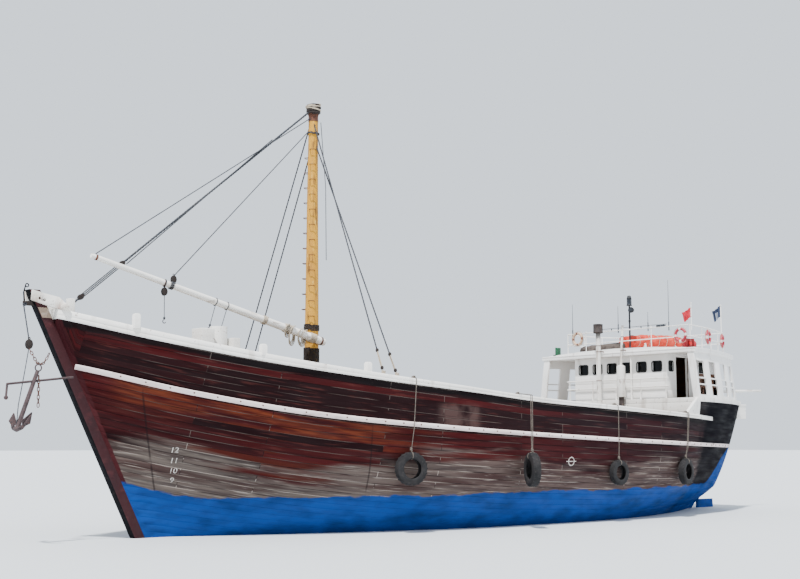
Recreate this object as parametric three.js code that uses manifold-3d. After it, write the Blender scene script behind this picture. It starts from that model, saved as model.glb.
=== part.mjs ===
// Wooden motor-sailing dhow: high raked bow, one mast with a cargo boom, deckhouse on the poop.
// Millimetres. +X forward, +Y to port, +Z up. Origin: centreline, amidships, at the waterplane.
import * as THREE from 'three';
import { mergeVertices } from 'three/addons/utils/BufferGeometryUtils.js';
import Module from 'manifold-3d';

const wasm = await Module();
wasm.setup();

// Driving dimensions
const GAP = 0.4;
const HALF_BEAM = 4300;
const STEM_HEAD = { x: 15000, z: 6880 };
const STEM_RAKE = 0.499;
const STEM_DEPTH = 320;
const KEEL = { foreX: 11000, foreZ: -1250, aftX: -15450, aftZ: -1950, depth: 350, half: 150 };
const STERN_X = -14200;
const COUNTER = { x: -15500, low: -300, high: 900 };
const BULWARK = 170;
const DECK_DROP = 1000;
const FOREDECK_DROP = 620;
const FOREDECK_X = 8300;
const PROW_X = 13600;
const POOP = { x: -9900, z: 4250 };
const MAST = { x: 5250, foot: 250, head: 150, top: 13820 };
const ROOF = { low: 6150, edge: 150, camber: 160 };

// columns: x, z of the top of the rail
const SHEER = [[-15500, 3560], [-10400, 3730], [-4000, 4030], [-900, 4180], [1800, 4400], [5500, 4740],
  [8800, 5175], [11600, 5700], [13400, 6140], [15000, 6600]];
// columns: x, z of the top of the rubbing strake
const RUB_LINE = [[-15500, 2650], [-9200, 2750], [-2400, 2985], [3100, 3250], [7400, 3610], [10800, 4180],
  [13400, 4830], [15000, 5270]];
const RUB = { deep: 150, proud: 85 };
const STATIONS = [13600, 13300, 12800, 12200, 11500, 10700, 9600, 8300, 6800, 5200, 3200, 800, -2000, -5000, -7800,
  -9900];
const AFT_STATIONS = [-9900, -11200, -12400, -13400, -14200, -14800, -15500];

const FINISH = {
  hull_wood: ['#4a1c1c', 0.55, 0],
  black_paint: ['#1e1a24', 0.6, 0],
  white_paint: ['#e6e2d8', 0.55, 0],
  deck_wood: ['#8a7458', 0.85, 0],
  keel_blue: ['#1560b0', 0.6, 0],
  yellow_paint: ['#dd9e22', 0.5, 0],
  rusty_iron: ['#5a3626', 0.8, 0.4],
  rope: ['#b9ab93', 0.95, 0],
  rubber: ['#17171a', 0.9, 0],
  orange_cover: ['#dd4520', 0.7, 0],
  bronze: ['#8c6a34', 0.4, 0.8],
  glass: ['#20282c', 0.08, 0],
  red_cloth: ['#c8202a', 0.9, 0],
  blue_cloth: ['#1d2c52', 0.9, 0],
  green_lamp: ['#0e7a44', 0.3, 0],
  red_lamp: ['#b81f1f', 0.3, 0],
};

const boat = new THREE.Group();

function place(name, geometry, finish) {
  const [color, roughness, metalness] = FINISH[finish];
  const mesh = new THREE.Mesh(geometry, new THREE.MeshStandardMaterial({ color, roughness, metalness }));
  mesh.name = name;
  boat.add(mesh);
}

// Closed geometry with shared corners and no collapsed triangles
function closed(geometry) {
  const bare = geometry.clone();
  for (const name of Object.keys(bare.attributes)) {
    if (name !== 'position') bare.deleteAttribute(name);
  }
  const merged = mergeVertices(bare, 1e-3);
  const index = merged.index.array;
  const kept = [];
  for (let i = 0; i < index.length; i += 3) {
    const [a, b, c] = [index[i], index[i + 1], index[i + 2]];
    if (a !== b && b !== c && c !== a) kept.push(a, b, c);
  }
  merged.setIndex(kept);
  return merged;
}

function toSolid(geometry) {
  const shell = closed(geometry);
  return new wasm.Manifold(new wasm.Mesh({
    numProp: 3,
    vertProperties: new Float32Array(shell.attributes.position.array),
    triVerts: new Uint32Array(shell.index.array),
  }));
}

function fromSolid(solid) {
  const mesh = solid.getMesh();
  const geometry = new THREE.BufferGeometry();
  geometry.setAttribute('position', new THREE.BufferAttribute(new Float32Array(mesh.vertProperties), 3));
  geometry.setIndex(Array.from(mesh.triVerts));
  return geometry;
}

function join(...parts) {
  return fromSolid(parts.map(toSolid).reduce((whole, part) => whole.add(part)));
}

function cut(body, ...tools) {
  return fromSolid(tools.map(toSolid).reduce((whole, tool) => whole.subtract(tool), toSolid(body)));
}

function mirrored(geometry) {
  const other = closed(geometry);
  other.scale(1, -1, 1);
  const index = Array.from(other.index.array);
  for (let i = 0; i < index.length; i += 3) [index[i + 1], index[i + 2]] = [index[i + 2], index[i + 1]];
  other.setIndex(index);
  return other;
}

function box(x0, x1, y0, y1, z0, z1) {
  const geometry = new THREE.BoxGeometry(x1 - x0, y1 - y0, z1 - z0);
  return geometry.translate((x0 + x1) / 2, (y0 + y1) / 2, (z0 + z1) / 2);
}

// Round bar between two points, tapering from one radius to the other
function bar(from, to, radius, endRadius = radius, sides = 8) {
  const start = new THREE.Vector3(...from);
  const run = new THREE.Vector3(...to).sub(start);
  const geometry = new THREE.CylinderGeometry(endRadius, radius, run.length(), sides);
  const turn = new THREE.Quaternion().setFromUnitVectors(new THREE.Vector3(0, 1, 0), run.clone().normalize());
  geometry.applyQuaternion(turn);
  const middle = start.addScaledVector(run, 0.5);
  return geometry.translate(middle.x, middle.y, middle.z);
}

// Rope or pipe along straight stretches, with round joints
function rope(points, radius, sides = 8) {
  const parts = [];
  points.slice(1).forEach((point, i) => {
    parts.push(bar(points[i], point, radius, radius, sides));
    if (i > 0) parts.push(new THREE.IcosahedronGeometry(radius * 1.04, 1).translate(...points[i]));
  });
  return join(...parts);
}

function ring(centre, axis, radius, tube, around = 24, across = 8) {
  const geometry = new THREE.TorusGeometry(radius, tube, across, around);
  const facing = new THREE.Vector3(...axis).normalize();
  const turn = new THREE.Quaternion().setFromUnitVectors(new THREE.Vector3(0, 0, 1), facing);
  geometry.applyQuaternion(turn);
  return geometry.translate(...centre);
}

// Flat plate: an outline of [x, z] corners, between two values of y
function plate(outline, y0, y1) {
  const shape = new THREE.Shape(outline.map(([x, z]) => new THREE.Vector2(x, z)));
  const geometry = new THREE.ExtrudeGeometry(shape, { depth: y1 - y0, bevelEnabled: false });
  return geometry.rotateX(Math.PI / 2).translate(0, y1, 0);
}

// Body through rings of corners, all with the same number of corners
function loft(rings) {
  const corners = rings.flat();
  const count = rings[0].length;
  const last = (rings.length - 1) * count;
  const index = [];
  for (let i = 0; i < rings.length - 1; i += 1) {
    for (let j = 0; j < count; j += 1) {
      const a = i * count + j;
      const b = i * count + (j + 1) % count;
      index.push(a, b, b + count, a, b + count, a + count);
    }
  }
  for (let j = 1; j < count - 1; j += 1) {
    index.push(0, j + 1, j, last, last + j, last + j + 1);
  }
  return outward(corners, index);
}

// Body that is alike on both sides: sections of [y, z] from low to high at each x
function twoSided(xs, sections) {
  const high = sections[0].length;
  const corners = [];
  xs.forEach((x, i) => sections[i].forEach(([y, z]) => corners.push([x, y, z], [x, -y, z])));
  const at = (i, j, side) => (i * high + j) * 2 + side;
  const index = [];
  const quad = (a, b, c, d) => index.push(a, b, c, a, c, d);
  for (let i = 0; i < xs.length - 1; i += 1) {
    for (let j = 0; j < high - 1; j += 1) {
      quad(at(i, j, 0), at(i, j + 1, 0), at(i + 1, j + 1, 0), at(i + 1, j, 0));
      index.push(at(i, j, 1), at(i + 1, j + 1, 1), at(i, j + 1, 1), at(i, j, 1), at(i + 1, j, 1), at(i + 1, j + 1, 1));
    }
    quad(at(i, 0, 0), at(i + 1, 0, 0), at(i + 1, 0, 1), at(i, 0, 1));
    quad(at(i, high - 1, 0), at(i, high - 1, 1), at(i + 1, high - 1, 1), at(i + 1, high - 1, 0));
  }
  const end = xs.length - 1;
  for (let j = 0; j < high - 1; j += 1) {
    quad(at(0, j, 0), at(0, j, 1), at(0, j + 1, 1), at(0, j + 1, 0));
    quad(at(end, j, 0), at(end, j + 1, 0), at(end, j + 1, 1), at(end, j, 1));
  }
  return outward(corners, index);
}

// Turns every face outward, by the sign of the enclosed volume
function outward(corners, index) {
  let volume = 0;
  for (let i = 0; i < index.length; i += 3) {
    const [a, b, c] = [0, 1, 2].map((k) => new THREE.Vector3(...corners[index[i + k]]));
    volume += a.dot(b.cross(c));
  }
  const faces = volume > 0 ? index : index.slice().reverse();
  const geometry = new THREE.BufferGeometry();
  geometry.setAttribute('position', new THREE.Float32BufferAttribute(corners.flat(), 3));
  geometry.setIndex(faces);
  return closed(geometry);
}

// Smooth height at x through a table of [x, z] rows with rising x
function heightAt(table, x) {
  const last = table.length - 2;
  let i = 0;
  while (i < last && x > table[i + 1][0]) i += 1;
  const slope = (k) => {
    const low = table[Math.max(k - 1, 0)];
    const high = table[Math.min(k + 1, table.length - 1)];
    return (high[1] - low[1]) / (high[0] - low[0]);
  };
  const [x0, z0] = table[i];
  const [x1, z1] = table[i + 1];
  const span = x1 - x0;
  const t = Math.min(Math.max((x - x0) / span, 0), 1);
  const ease = t * t * (3 - 2 * t);
  return z0 * (1 - ease) + z1 * ease
    + span * t * (1 - t) * (slope(i) * (1 - t) - slope(i + 1) * t);
}

const railTop = (x) => heightAt(SHEER, x);
const rubTop = (x) => heightAt(RUB_LINE, x);
const deckAt = (x) => railTop(x) - DECK_DROP;
const foredeckAt = (x) => railTop(x) - FOREDECK_DROP;
const capDepth = (x) => 150 + 120 * Math.min(Math.max((x - 1000) / 12000, 0), 1);
const stemFront = (z) => STEM_HEAD.x - (STEM_HEAD.z - z) * STEM_RAKE;
const keelTop = (x) => KEEL.foreZ + KEEL.depth
  + (KEEL.aftZ - KEEL.foreZ) * (KEEL.foreX - x) / (KEEL.foreX - KEEL.aftX);

// Underside of the planked hull: the raked stem, the keel, then the rising counter
function hullLow(x) {
  const onStem = STEM_HEAD.z - (STEM_HEAD.x - STEM_DEPTH - x) / STEM_RAKE;
  const counter = COUNTER.low + (COUNTER.high - COUNTER.low) * (STERN_X - x) / (STERN_X - COUNTER.x);
  return x < STERN_X ? counter : Math.max(onStem, keelTop(x));
}

// Half-breadth of the planking at x and height z
function halfBreadth(x, z) {
  const bottom = keelTop(x);
  const rise = Math.min(Math.max((z - bottom) / (3200 - bottom), 0), 1);
  const midship = (1 - (1 - rise) ** 3.2) ** 0.62;
  const metres = z / 1000;
  const fromStem = Math.min(Math.max((stemFront(z) - STEM_DEPTH * 0.7 - x) / (12000 - 170 * metres), 0), 1);
  const entry = (1 - (1 - fromStem) ** 2) ** (1.35 - 0.1 * metres);
  const endX = STERN_X - (STERN_X - COUNTER.x) * Math.min(Math.max((z - COUNTER.low) / 1200, 0), 1);
  const runLength = 7500 + 800 * Math.max(4.3 - metres, 0);
  const fromStern = Math.min(Math.max((x - endX) / runLength, 0), 1);
  const ratio = 0.465 * (Math.max(metres - 0.3, 0) / 4) ** 0.6;
  const run = 1 - (1 - ratio) * (1 - fromStern) ** 1.8;
  return Math.max(HALF_BEAM * midship * entry * run, KEEL.half);
}

// Hull planking up to the deck; one row of corners on each edge of the rubbing strake
const HULL_STEPS = [0, 0.04, 0.1, 0.18, 0.3, 0.45, 0.62, 0.8, 1];
function hullSection(x) {
  const [low, deck] = [hullLow(x), deckAt(x)];
  const rub = Math.max(rubTop(x) - RUB.deep, low + 0.25 * (deck - low));
  const rows = HULL_STEPS.map((step) => low + step * (rub - low));
  rows.push(Math.min(Math.max(rubTop(x), low + 0.4 * (deck - low)), deck - 5), deck);
  return rows.map((z) => [halfBreadth(x, z), z]);
}
const BOW_STATIONS = [13800];
const aftOfPoop = AFT_STATIONS.slice(1).flatMap((x) => (x === STERN_X ? [x, x - 1] : [x]));
const hullStations = [...BOW_STATIONS, ...STATIONS, ...aftOfPoop];
place('hull', twoSided(hullStations, hullStations.map(hullSection)), 'hull_wood');

// Height of a faceted surface at x: straight between the hull's stations
function facetHeight(curve, x) {
  const i = hullStations.findIndex((station) => station <= x);
  const [fore, aft] = [hullStations[Math.max(i - 1, 0)], hullStations[i]];
  const t = fore === aft ? 0 : (x - aft) / (fore - aft);
  return curve(aft) * (1 - t) + curve(fore) * t;
}
// Height on which a thing stands that reaches from one x to the other
const seatHeight = (curve, x0, x1) => Math.max(facetHeight(curve, x0), facetHeight(curve, x1)) + GAP;

// Solid prow above the deck, between the two bulwarks
const prowStations = [14220, 14000, BOW_STATIONS[0], PROW_X];
place('prow', twoSided(prowStations, prowStations.map((x) => {
  const low = Math.max(hullLow(x), x > BOW_STATIONS[0] ? 0 : deckAt(x)) + GAP;
  const high = railTop(x) - capDepth(x);
  return [0, 0.5, 1].map((t) => low + t * (high - low)).map((z) => [halfBreadth(x, z), z]);
})), 'black_paint');

// Stem, keel with its sole piece, sternpost
const stemAft = (z) => stemFront(z) - STEM_DEPTH + GAP * 3;
const keelLow = (x) => keelTop(x) - KEEL.depth;
const soleTop = (x) => keelLow(x) + 180;
const forefoot = STEM_HEAD.x - STEM_DEPTH - (STEM_HEAD.z - keelTop(11100)) * STEM_RAKE;
place('stem_post', plate([[STEM_HEAD.x, STEM_HEAD.z], [stemFront(0), 0], [stemFront(-900) - 60, -900],
  [forefoot + 60, keelLow(forefoot)], [forefoot + 2, keelLow(forefoot)], [forefoot + 2, keelTop(forefoot) - GAP],
  [stemAft(keelTop(forefoot)) + 2, keelTop(forefoot) - GAP], [stemAft(6000), 6000],
  [stemAft(STEM_HEAD.z), STEM_HEAD.z]], -KEEL.half, KEEL.half), 'black_paint');
place('keel', plate([[forefoot, keelTop(forefoot) - GAP], [forefoot, keelLow(forefoot)],
  [KEEL.aftX, keelLow(KEEL.aftX)], [KEEL.aftX, soleTop(KEEL.aftX)], [STERN_X - 250, soleTop(STERN_X - 250)],
  [STERN_X - 250, keelTop(STERN_X) - GAP], [STERN_X, keelTop(STERN_X) - GAP]], -KEEL.half, KEEL.half), 'keel_blue');
const counterAt = (x) => hullLow(x) - GAP;
place('stern_post', plate([[STERN_X - 1 - GAP, keelTop(STERN_X)], [STERN_X - 250, keelTop(STERN_X)],
  [STERN_X - 250, counterAt(STERN_X - 250)], [STERN_X - 1 - GAP, counterAt(STERN_X - 1)]],
-KEEL.half, KEEL.half), 'keel_blue');

// Rudder on its stock, standing in the sole piece behind the propeller
const RUDDER = { x: -15150, stock: 70, chord: 1250, half: 60, low: soleTop(-15080) + 0.6, high: 350 };
place('rudder', join(
  bar([RUDDER.x, 0, RUDDER.low], [RUDDER.x, 0, RUDDER.high + 80], RUDDER.stock, RUDDER.stock, 12),
  plate([[RUDDER.x + 40, RUDDER.low + 40], [RUDDER.x - RUDDER.chord, RUDDER.low + 40],
    [RUDDER.x - RUDDER.chord * 0.85, RUDDER.high], [RUDDER.x + 20, RUDDER.high]], -RUDDER.half, RUDDER.half),
), 'keel_blue');

// Three-bladed propeller on its shaft
const SCREW = { x: -14720, z: -780, hub: 110, tip: 520, blades: 3 };
function screw() {
  const hub = bar([SCREW.x - 150, 0, SCREW.z], [STERN_X - 250.8, 0, SCREW.z], 70, SCREW.hub, 12);
  const blades = [];
  for (let i = 0; i < SCREW.blades; i += 1) {
    const blade = new THREE.SphereGeometry(1, 12, 8);
    blade.scale(25, 150, (SCREW.tip - 60) / 2);
    blade.rotateZ(Math.PI / 5).translate(0, 0, (SCREW.tip + 60) / 2);
    blade.rotateX(i * 2 * Math.PI / SCREW.blades).translate(SCREW.x, 0, SCREW.z);
    blades.push(blade);
  }
  return join(hub, ...blades);
}
place('propeller', screw(), 'bronze');

// Bulwarks, cap rails and rubbing strakes; the starboard side mirrors the port side
function pair(name, geometry, finish) {
  place(`${name}_port`, geometry, finish);
  place(`${name}_starboard`, mirrored(geometry), finish);
}
const railStations = STATIONS.map((x) => (x === PROW_X ? x - 1 : x === POOP.x ? x + 1 : x));
pair('bulwark', loft(railStations.map((x) => {
  const low = deckAt(x) + GAP;
  const high = railTop(x) - capDepth(x);
  const rows = [low, (low + high) / 2, high];
  return [...rows.map((z) => [x, halfBreadth(x, z), z]),
    ...rows.reverse().map((z) => [x, halfBreadth(x, z) - BULWARK, z])];
})), 'hull_wood');
const CAP = { out: 50, inside: 260, end: -11200, clear: 10 };
const capStations = [14240, 13950, ...railStations];
const capRing = (x, insideAt) => {
  const [low, high] = [railTop(x) - capDepth(x) + GAP, railTop(x)];
  const outside = halfBreadth(x, low) + CAP.out;
  return [[x, outside, low], [x, outside, high], [x, insideAt(x, high), high], [x, insideAt(x, low), low]];
};
const capInside = (x) => Math.max(halfBreadth(x, railTop(x) - capDepth(x) + GAP) - CAP.inside, 20);
const capTail = (x, z) => halfBreadth(x, z) + CAP.clear;
// columns: x of each timberhead, its height above the rail
const TIMBERHEADS = [[12510, 350], [9210, 260], [6030, 280]];
const TIMBERHEAD = { half: 85, in: 105 };
const timberheads = TIMBERHEADS.map(([x, rise]) => {
  const [y, top] = [halfBreadth(x, railTop(x)) - TIMBERHEAD.in, railTop(x)];
  return box(x - TIMBERHEAD.half, x + TIMBERHEAD.half, y - TIMBERHEAD.half, y + TIMBERHEAD.half, top - 60, top + rise);
});
pair('cap_rail', join(loft(capStations.map((x) => capRing(x, capInside))),
  loft([POOP.x + 40, POOP.x, CAP.end].map((x) => capRing(x, capTail))), ...timberheads), 'white_paint');
const rubStations = hullStations.slice(1, -1);
pair('rub_rail', loft(rubStations.map((x) => {
  const [low, high] = [rubTop(x) - RUB.deep, rubTop(x)];
  const [yLow, yHigh] = [halfBreadth(x, low) + GAP, halfBreadth(x, high) + GAP];
  return [[x, yLow, low], [x, yHigh, high], [x, yHigh + RUB.proud, high - 20], [x, yLow + RUB.proud, low + 20]];
})), 'white_paint');

// Raised foredeck
const foredeckStations = STATIONS.filter((x) => x < PROW_X && x >= FOREDECK_X);
place('foredeck', twoSided(foredeckStations, foredeckStations.map((x) => [deckAt(x) + GAP, foredeckAt(x)]
  .map((z) => [Math.max(halfBreadth(x, z) - BULWARK - 45, 60), z]))), 'deck_wood');

// White boards over the prow, and the bitt that the forestay pulls on
// columns: x, top of the board
const BOARD_TOP = [[14040, 6430], [14250, 6700], [14600, 6780], [14950, 6860]];
const boardStations = [14950, 14600, 14240, 14040];
const bowBoard = loft(boardStations.map((x) => {
  const [low, high] = [railTop(x) + GAP, heightAt(BOARD_TOP, x)];
  const y = Math.max(KEEL.half + 62, halfBreadth(x, low - 250) + 30);
  return [[x, y + 30, low], [x, y + 60, high], [x, y - 30, high], [x, y - 60, low]];
}));
const breastHook = box(14060, 14200, -700, 700, railTop(14200) + 30, railTop(14200) + 110);
// columns: x, z of each hawse hole
const HAWSE = [[14730, 6640], [14590, 6600]];
place('bow_boards', cut(join(bowBoard, mirrored(bowBoard), breastHook),
  ...HAWSE.map(([x, z]) => bar([x, -900, z], [x, 900, z], 42, 42, 12))), 'white_paint');
const BITT = { x: 13700, half: 98, top: 6720 };
const prowTop = seatHeight((x) => railTop(x) - capDepth(x), BITT.x - BITT.half, BITT.x + BITT.half);
place('bow_bitt', box(BITT.x - BITT.half, BITT.x + BITT.half, -BITT.half, BITT.half, prowTop, BITT.top),
  'white_paint');

// Things on the foredeck
place('deck_box', box(9730, 10170, 700, 1250, seatHeight(foredeckAt, 9730, 10170), 6030), 'white_paint');
place('deck_chest', box(8860, 9110, 850, 1300, seatHeight(foredeckAt, 8860, 9110), 5790), 'white_paint');
place('deck_drum', bar([9400, 950, seatHeight(foredeckAt, 9140, 9660)], [9400, 950, 6120], 260, 260, 20), 'white_paint');

// Cargo hatch with its boards
const HATCH = { half: 2100, rise: 620, stations: [3200, 800, -2000, -5000, -7800] };
place('hatch_coaming', loft(HATCH.stations.map((x) => {
  const low = deckAt(x) + GAP;
  return [[x, HATCH.half, low], [x, HATCH.half, low + HATCH.rise], [x, -HATCH.half, low + HATCH.rise],
    [x, -HATCH.half, low]];
})), 'deck_wood');

// Mast
const mastRadius = (z) => MAST.foot + (MAST.head - MAST.foot) * (z - deckAt(MAST.x)) / (MAST.top - deckAt(MAST.x));
const mastFoot = seatHeight(deckAt, MAST.x - MAST.foot, MAST.x + MAST.foot);
// Bent iron steps up the fore side, left and right in turn
const STEP = { angle: 50, reach: 105, half: 90, radius: 13, pitch: 250, first: 6750, last: 12250 };
function mastStep(z, side) {
  const turn = side * STEP.angle * Math.PI / 180;
  const [outX, outY] = [Math.cos(turn), Math.sin(turn)];
  const reach = mastRadius(z) + STEP.reach;
  const at = (out, along) => [MAST.x + out * outX - along * outY, out * outY + along * outX, z];
  return join(bar(at(50, STEP.half), at(reach, STEP.half), STEP.radius, STEP.radius, 6),
    bar(at(50, -STEP.half), at(reach, -STEP.half), STEP.radius, STEP.radius, 6),
    bar(at(reach, -STEP.half - 10), at(reach, STEP.half + 10), STEP.radius, STEP.radius, 6));
}
const mastSteps = [];
for (let z = STEP.first, side = 1; z <= STEP.last; z += STEP.pitch, side = -side) mastSteps.push(mastStep(z, side));
place('mast', join(
  bar([MAST.x, 0, mastFoot], [MAST.x, 0, MAST.top - 600], mastRadius(mastFoot), MAST.head, 16), ...mastSteps,
), 'yellow_paint');
// The head, bound with thick turns of rope and wire
const mastHead = (grow) => join(
  bar([MAST.x, 0, MAST.top - 600 + GAP], [MAST.x, 0, MAST.top], 165 + grow, 150 + grow, 16),
  ring([MAST.x, 0, MAST.top - 90], [0, 0, 1], 205, 75 + grow, 20),
  ring([MAST.x, 0, MAST.top - 230], [0, 0, 1], 190, 60 + grow, 20),
);
place('mast_head', mastHead(0), 'rusty_iron');

// Boom on the port side of the mast, with its strop around the mast, and the lift that holds it up
const BOOM = { heel: [5050, 420, 5910], tip: [13260, 290, 7960], heelRadius: 130, tipRadius: 75, strop: 6010 };
const stropRadius = mastRadius(BOOM.strop - 35) + 43;
place('boom', join(
  bar(BOOM.heel, BOOM.tip, BOOM.heelRadius, BOOM.tipRadius, 16),
  ring([MAST.x, 0, BOOM.strop], [0, 0, 1], stropRadius, 35),
), 'white_paint');
const boomPoint = (x) => {
  const t = (x - BOOM.heel[0]) / (BOOM.tip[0] - BOOM.heel[0]);
  return BOOM.heel.map((value, k) => value + t * (BOOM.tip[k] - value));
};
const LIFT = { x: 10600, top: 12850, radius: 25 };
const liftRing = mastRadius(LIFT.top - 30) + 37;
const liftFoot = boomPoint(LIFT.x);
const boomRadiusAt = (x) => BOOM.heelRadius
  + (BOOM.tipRadius - BOOM.heelRadius) * (x - BOOM.heel[0]) / (BOOM.tip[0] - BOOM.heel[0]);
const collar = boomRadiusAt(LIFT.x) + 29.5;
const boomRun = BOOM.tip.map((value, k) => value - BOOM.heel[k]);
place('boom_lift', join(
  bar([liftFoot[0], liftFoot[1], liftFoot[2] + collar], [MAST.x + liftRing, 12, LIFT.top], LIFT.radius),
  ring(liftFoot, boomRun, collar, 28),
  ring([MAST.x, 0, LIFT.top], [0, 0, 1], liftRing, 30),
  box(LIFT.x - 90, LIFT.x + 90, liftFoot[1] - 45, liftFoot[1] + 45, liftFoot[2] + collar, liftFoot[2] + collar + 230),
), 'rope');

// Main stays: forestay to the bow bitt, two shrouds on each side to the rail
const mastBlock = bar([MAST.x, 0, mastFoot], [MAST.x, 0, MAST.top - 600], mastRadius(mastFoot) + GAP,
  MAST.head + GAP, 16);
place('forestay', cut(
  bar([MAST.x, 0, MAST.top - 150], [BITT.x, 0, BITT.top - 90], 40),
  mastHead(GAP),
  box(BITT.x - BITT.half - GAP, BITT.x + 900, -300, 300, 5500, 7300),
), 'rope');
// columns: name, x at the rail, z at the mast
const SHROUDS = [['fore', 5520, 13050], ['aft', 5050, 12350]];
for (const [name, footX, topZ] of SHROUDS) {
  const rail = seatHeight(railTop, footX - 60, footX + 60);
  const y = halfBreadth(footX, rail) - 90;
  pair(`shroud_${name}`, cut(
    join(bar([footX, y, rail + 60], [MAST.x + (footX - MAST.x) * 0.2, 0, topZ], 22),
      box(footX - 60, footX + 60, y - 60, y + 60, rail, rail + 160)),
    mastBlock,
    box(footX - 3000, footX + 3000, -2000, 0, 8000, 16000),
  ), 'rope');
}

// Anchor hung ahead of the stem: shank with two arms, iron stock, chain and tackle
const ANCHOR = { ring: [14900, 620, 4620], crown: [15430, 620, 3050], stockIn: [13860, 620, 4490],
  stockOut: [15740, 620, 4250], shank: 66, stock: 32 };
const upShank = new THREE.Vector3(...ANCHOR.ring).sub(new THREE.Vector3(...ANCHOR.crown)).normalize();
const overStock = new THREE.Vector3(0, 1, 0).cross(upShank);
// Point in the plane of the arms: out to the side, up the shank, and across it
const atArm = (out, up, over = 0) => new THREE.Vector3(...ANCHOR.crown).addScaledVector(upShank, up)
  .addScaledVector(overStock, over).add(new THREE.Vector3(0, out, 0)).toArray();
// columns: out, up, radius of the arm from the crown to its point
const ARM = [[0, 0, 66], [250, 50, 56], [440, 190, 44], [560, 400, 20]];
// columns: out, up, half width of the palm
const PALM = [[370, 90, 40], [450, 190, 125], [600, 450, 12]];
const PALM_THICK = 22;
function anchorArm(side) {
  const pieces = ARM.slice(1).map(([out, up, radius], i) => bar(atArm(side * ARM[i][0], ARM[i][1]),
    atArm(side * out, up), ARM[i][2], radius));
  const face = (lift) => [...PALM.map(([out, up, half]) => atArm(side * (out - lift), up + lift / 2, half)),
    ...PALM.slice().reverse().map(([out, up, half]) => atArm(side * (out - lift), up + lift / 2, -half))];
  return join(...pieces, loft([face(30), face(30 + PALM_THICK)]));
}
const anchorBody = join(
  bar(ANCHOR.ring, ANCHOR.crown, ANCHOR.shank * 0.8, ANCHOR.shank),
  anchorArm(1), anchorArm(-1),
  ring([ANCHOR.ring[0] - 20, ANCHOR.ring[1], ANCHOR.ring[2] + 90], [0, 1, 0], 90, 20, 16, 6),
);
place('anchor', cut(anchorBody, bar(ANCHOR.stockIn, ANCHOR.stockOut, ANCHOR.stock + GAP)), 'rusty_iron');
const stockBend = [ANCHOR.stockOut[0] + 20, ANCHOR.stockOut[1], ANCHOR.stockOut[2] - 330];
place('anchor_stock', join(rope([ANCHOR.stockIn, ANCHOR.stockOut, stockBend], ANCHOR.stock),
  new THREE.IcosahedronGeometry(60, 1).translate(stockBend[0], stockBend[1], stockBend[2] - 30)), 'rusty_iron');
const TACKLE = { top: [15090, 0, 6500], block: [15000, 250, 5360], radius: 28 };
place('anchor_tackle', cut(
  join(
    bar(TACKLE.top, TACKLE.block, TACKLE.radius),
    box(14700, TACKLE.top[0] + 40, -40, 40, TACKLE.top[2] - 60, TACKLE.top[2] + 60),
    box(TACKLE.block[0] - 60, TACKLE.block[0] + 60, 190, 310, 5200, 5440),
    bar(TACKLE.block, [ANCHOR.ring[0] - 20, ANCHOR.ring[1], ANCHOR.ring[2] + 200], TACKLE.radius),
    bar([15060, 0, TACKLE.top[2]], [15045, 0, 7000], 24), ring([15000, 0, 7010], [0, 1, 0], 50, 18, 14, 6),
  ),
  plate([[stemFront(7000) + GAP, 7000], [stemFront(3000) + GAP, 3000], [10000, 3000], [10000, 7000]],
    -KEEL.half - GAP, KEEL.half + GAP),
  ring([ANCHOR.ring[0] - 20, ANCHOR.ring[1], ANCHOR.ring[2] + 90], [0, 1, 0], 90, 20 + GAP, 16, 6),
), 'rope');

// Tyre fenders on ropes along the port side
const TYRE_PROFILE = [[0.56, -0.9], [0.62, -1], [0.9, -1], [0.98, -0.8], [1, 0], [0.98, 0.8], [0.9, 1], [0.62, 1],
  [0.56, 0.9], [0.62, 0.75], [0.86, 0.6], [0.9, 0], [0.86, -0.6], [0.62, -0.75]];
// columns: name, x, z of the centre, outer diameter, width, turn about the rope in degrees
const TYRES = [['tyre_1', 4480, 1930, 1010, 250, 0], ['tyre_2', 100, 1860, 1080, 270, 62],
  ['tyre_3', -4720, 1690, 860, 210, 0], ['tyre_4', -8900, 1660, 960, 240, 0]];
for (const [name, x, z, diameter, width, turn] of TYRES) {
  const radius = diameter / 2;
  const outline = TYRE_PROFILE.map(([r, w]) => new THREE.Vector2(r * radius, w * width / 2));
  const tyre = new THREE.LatheGeometry([...outline, outline[0]], 28);
  const swing = Math.atan2(halfBreadth(x - 400, z) - halfBreadth(x + 400, z), 800);
  tyre.rotateZ(-swing + turn * Math.PI / 180);
  const reach = Math.abs(Math.sin(turn * Math.PI / 180)) * radius + Math.cos(turn * Math.PI / 180) * width / 2;
  const side = Math.max(...[-1, 0, 1].map((t) => halfBreadth(x, z + radius * t)));
  const y = side + reach + 15;
  const [rail, edge] = [seatHeight(railTop, x - 9, x + 9), halfBreadth(x, railTop(x)) + CAP.out];
  const overRub = Math.max(y, halfBreadth(x, rubTop(x)) + RUB.proud + 30);
  const route = [[x, y, z + radius * 0.93], [x, overRub, rubTop(x) - RUB.deep - 60],
    [x, Math.max(overRub, edge + 25), rail + 21.3], [x, edge - 200, rail + 21.3]];
  place(name, join(tyre.translate(x, y, z), rope(route, 22)), 'rubber');
}

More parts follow.
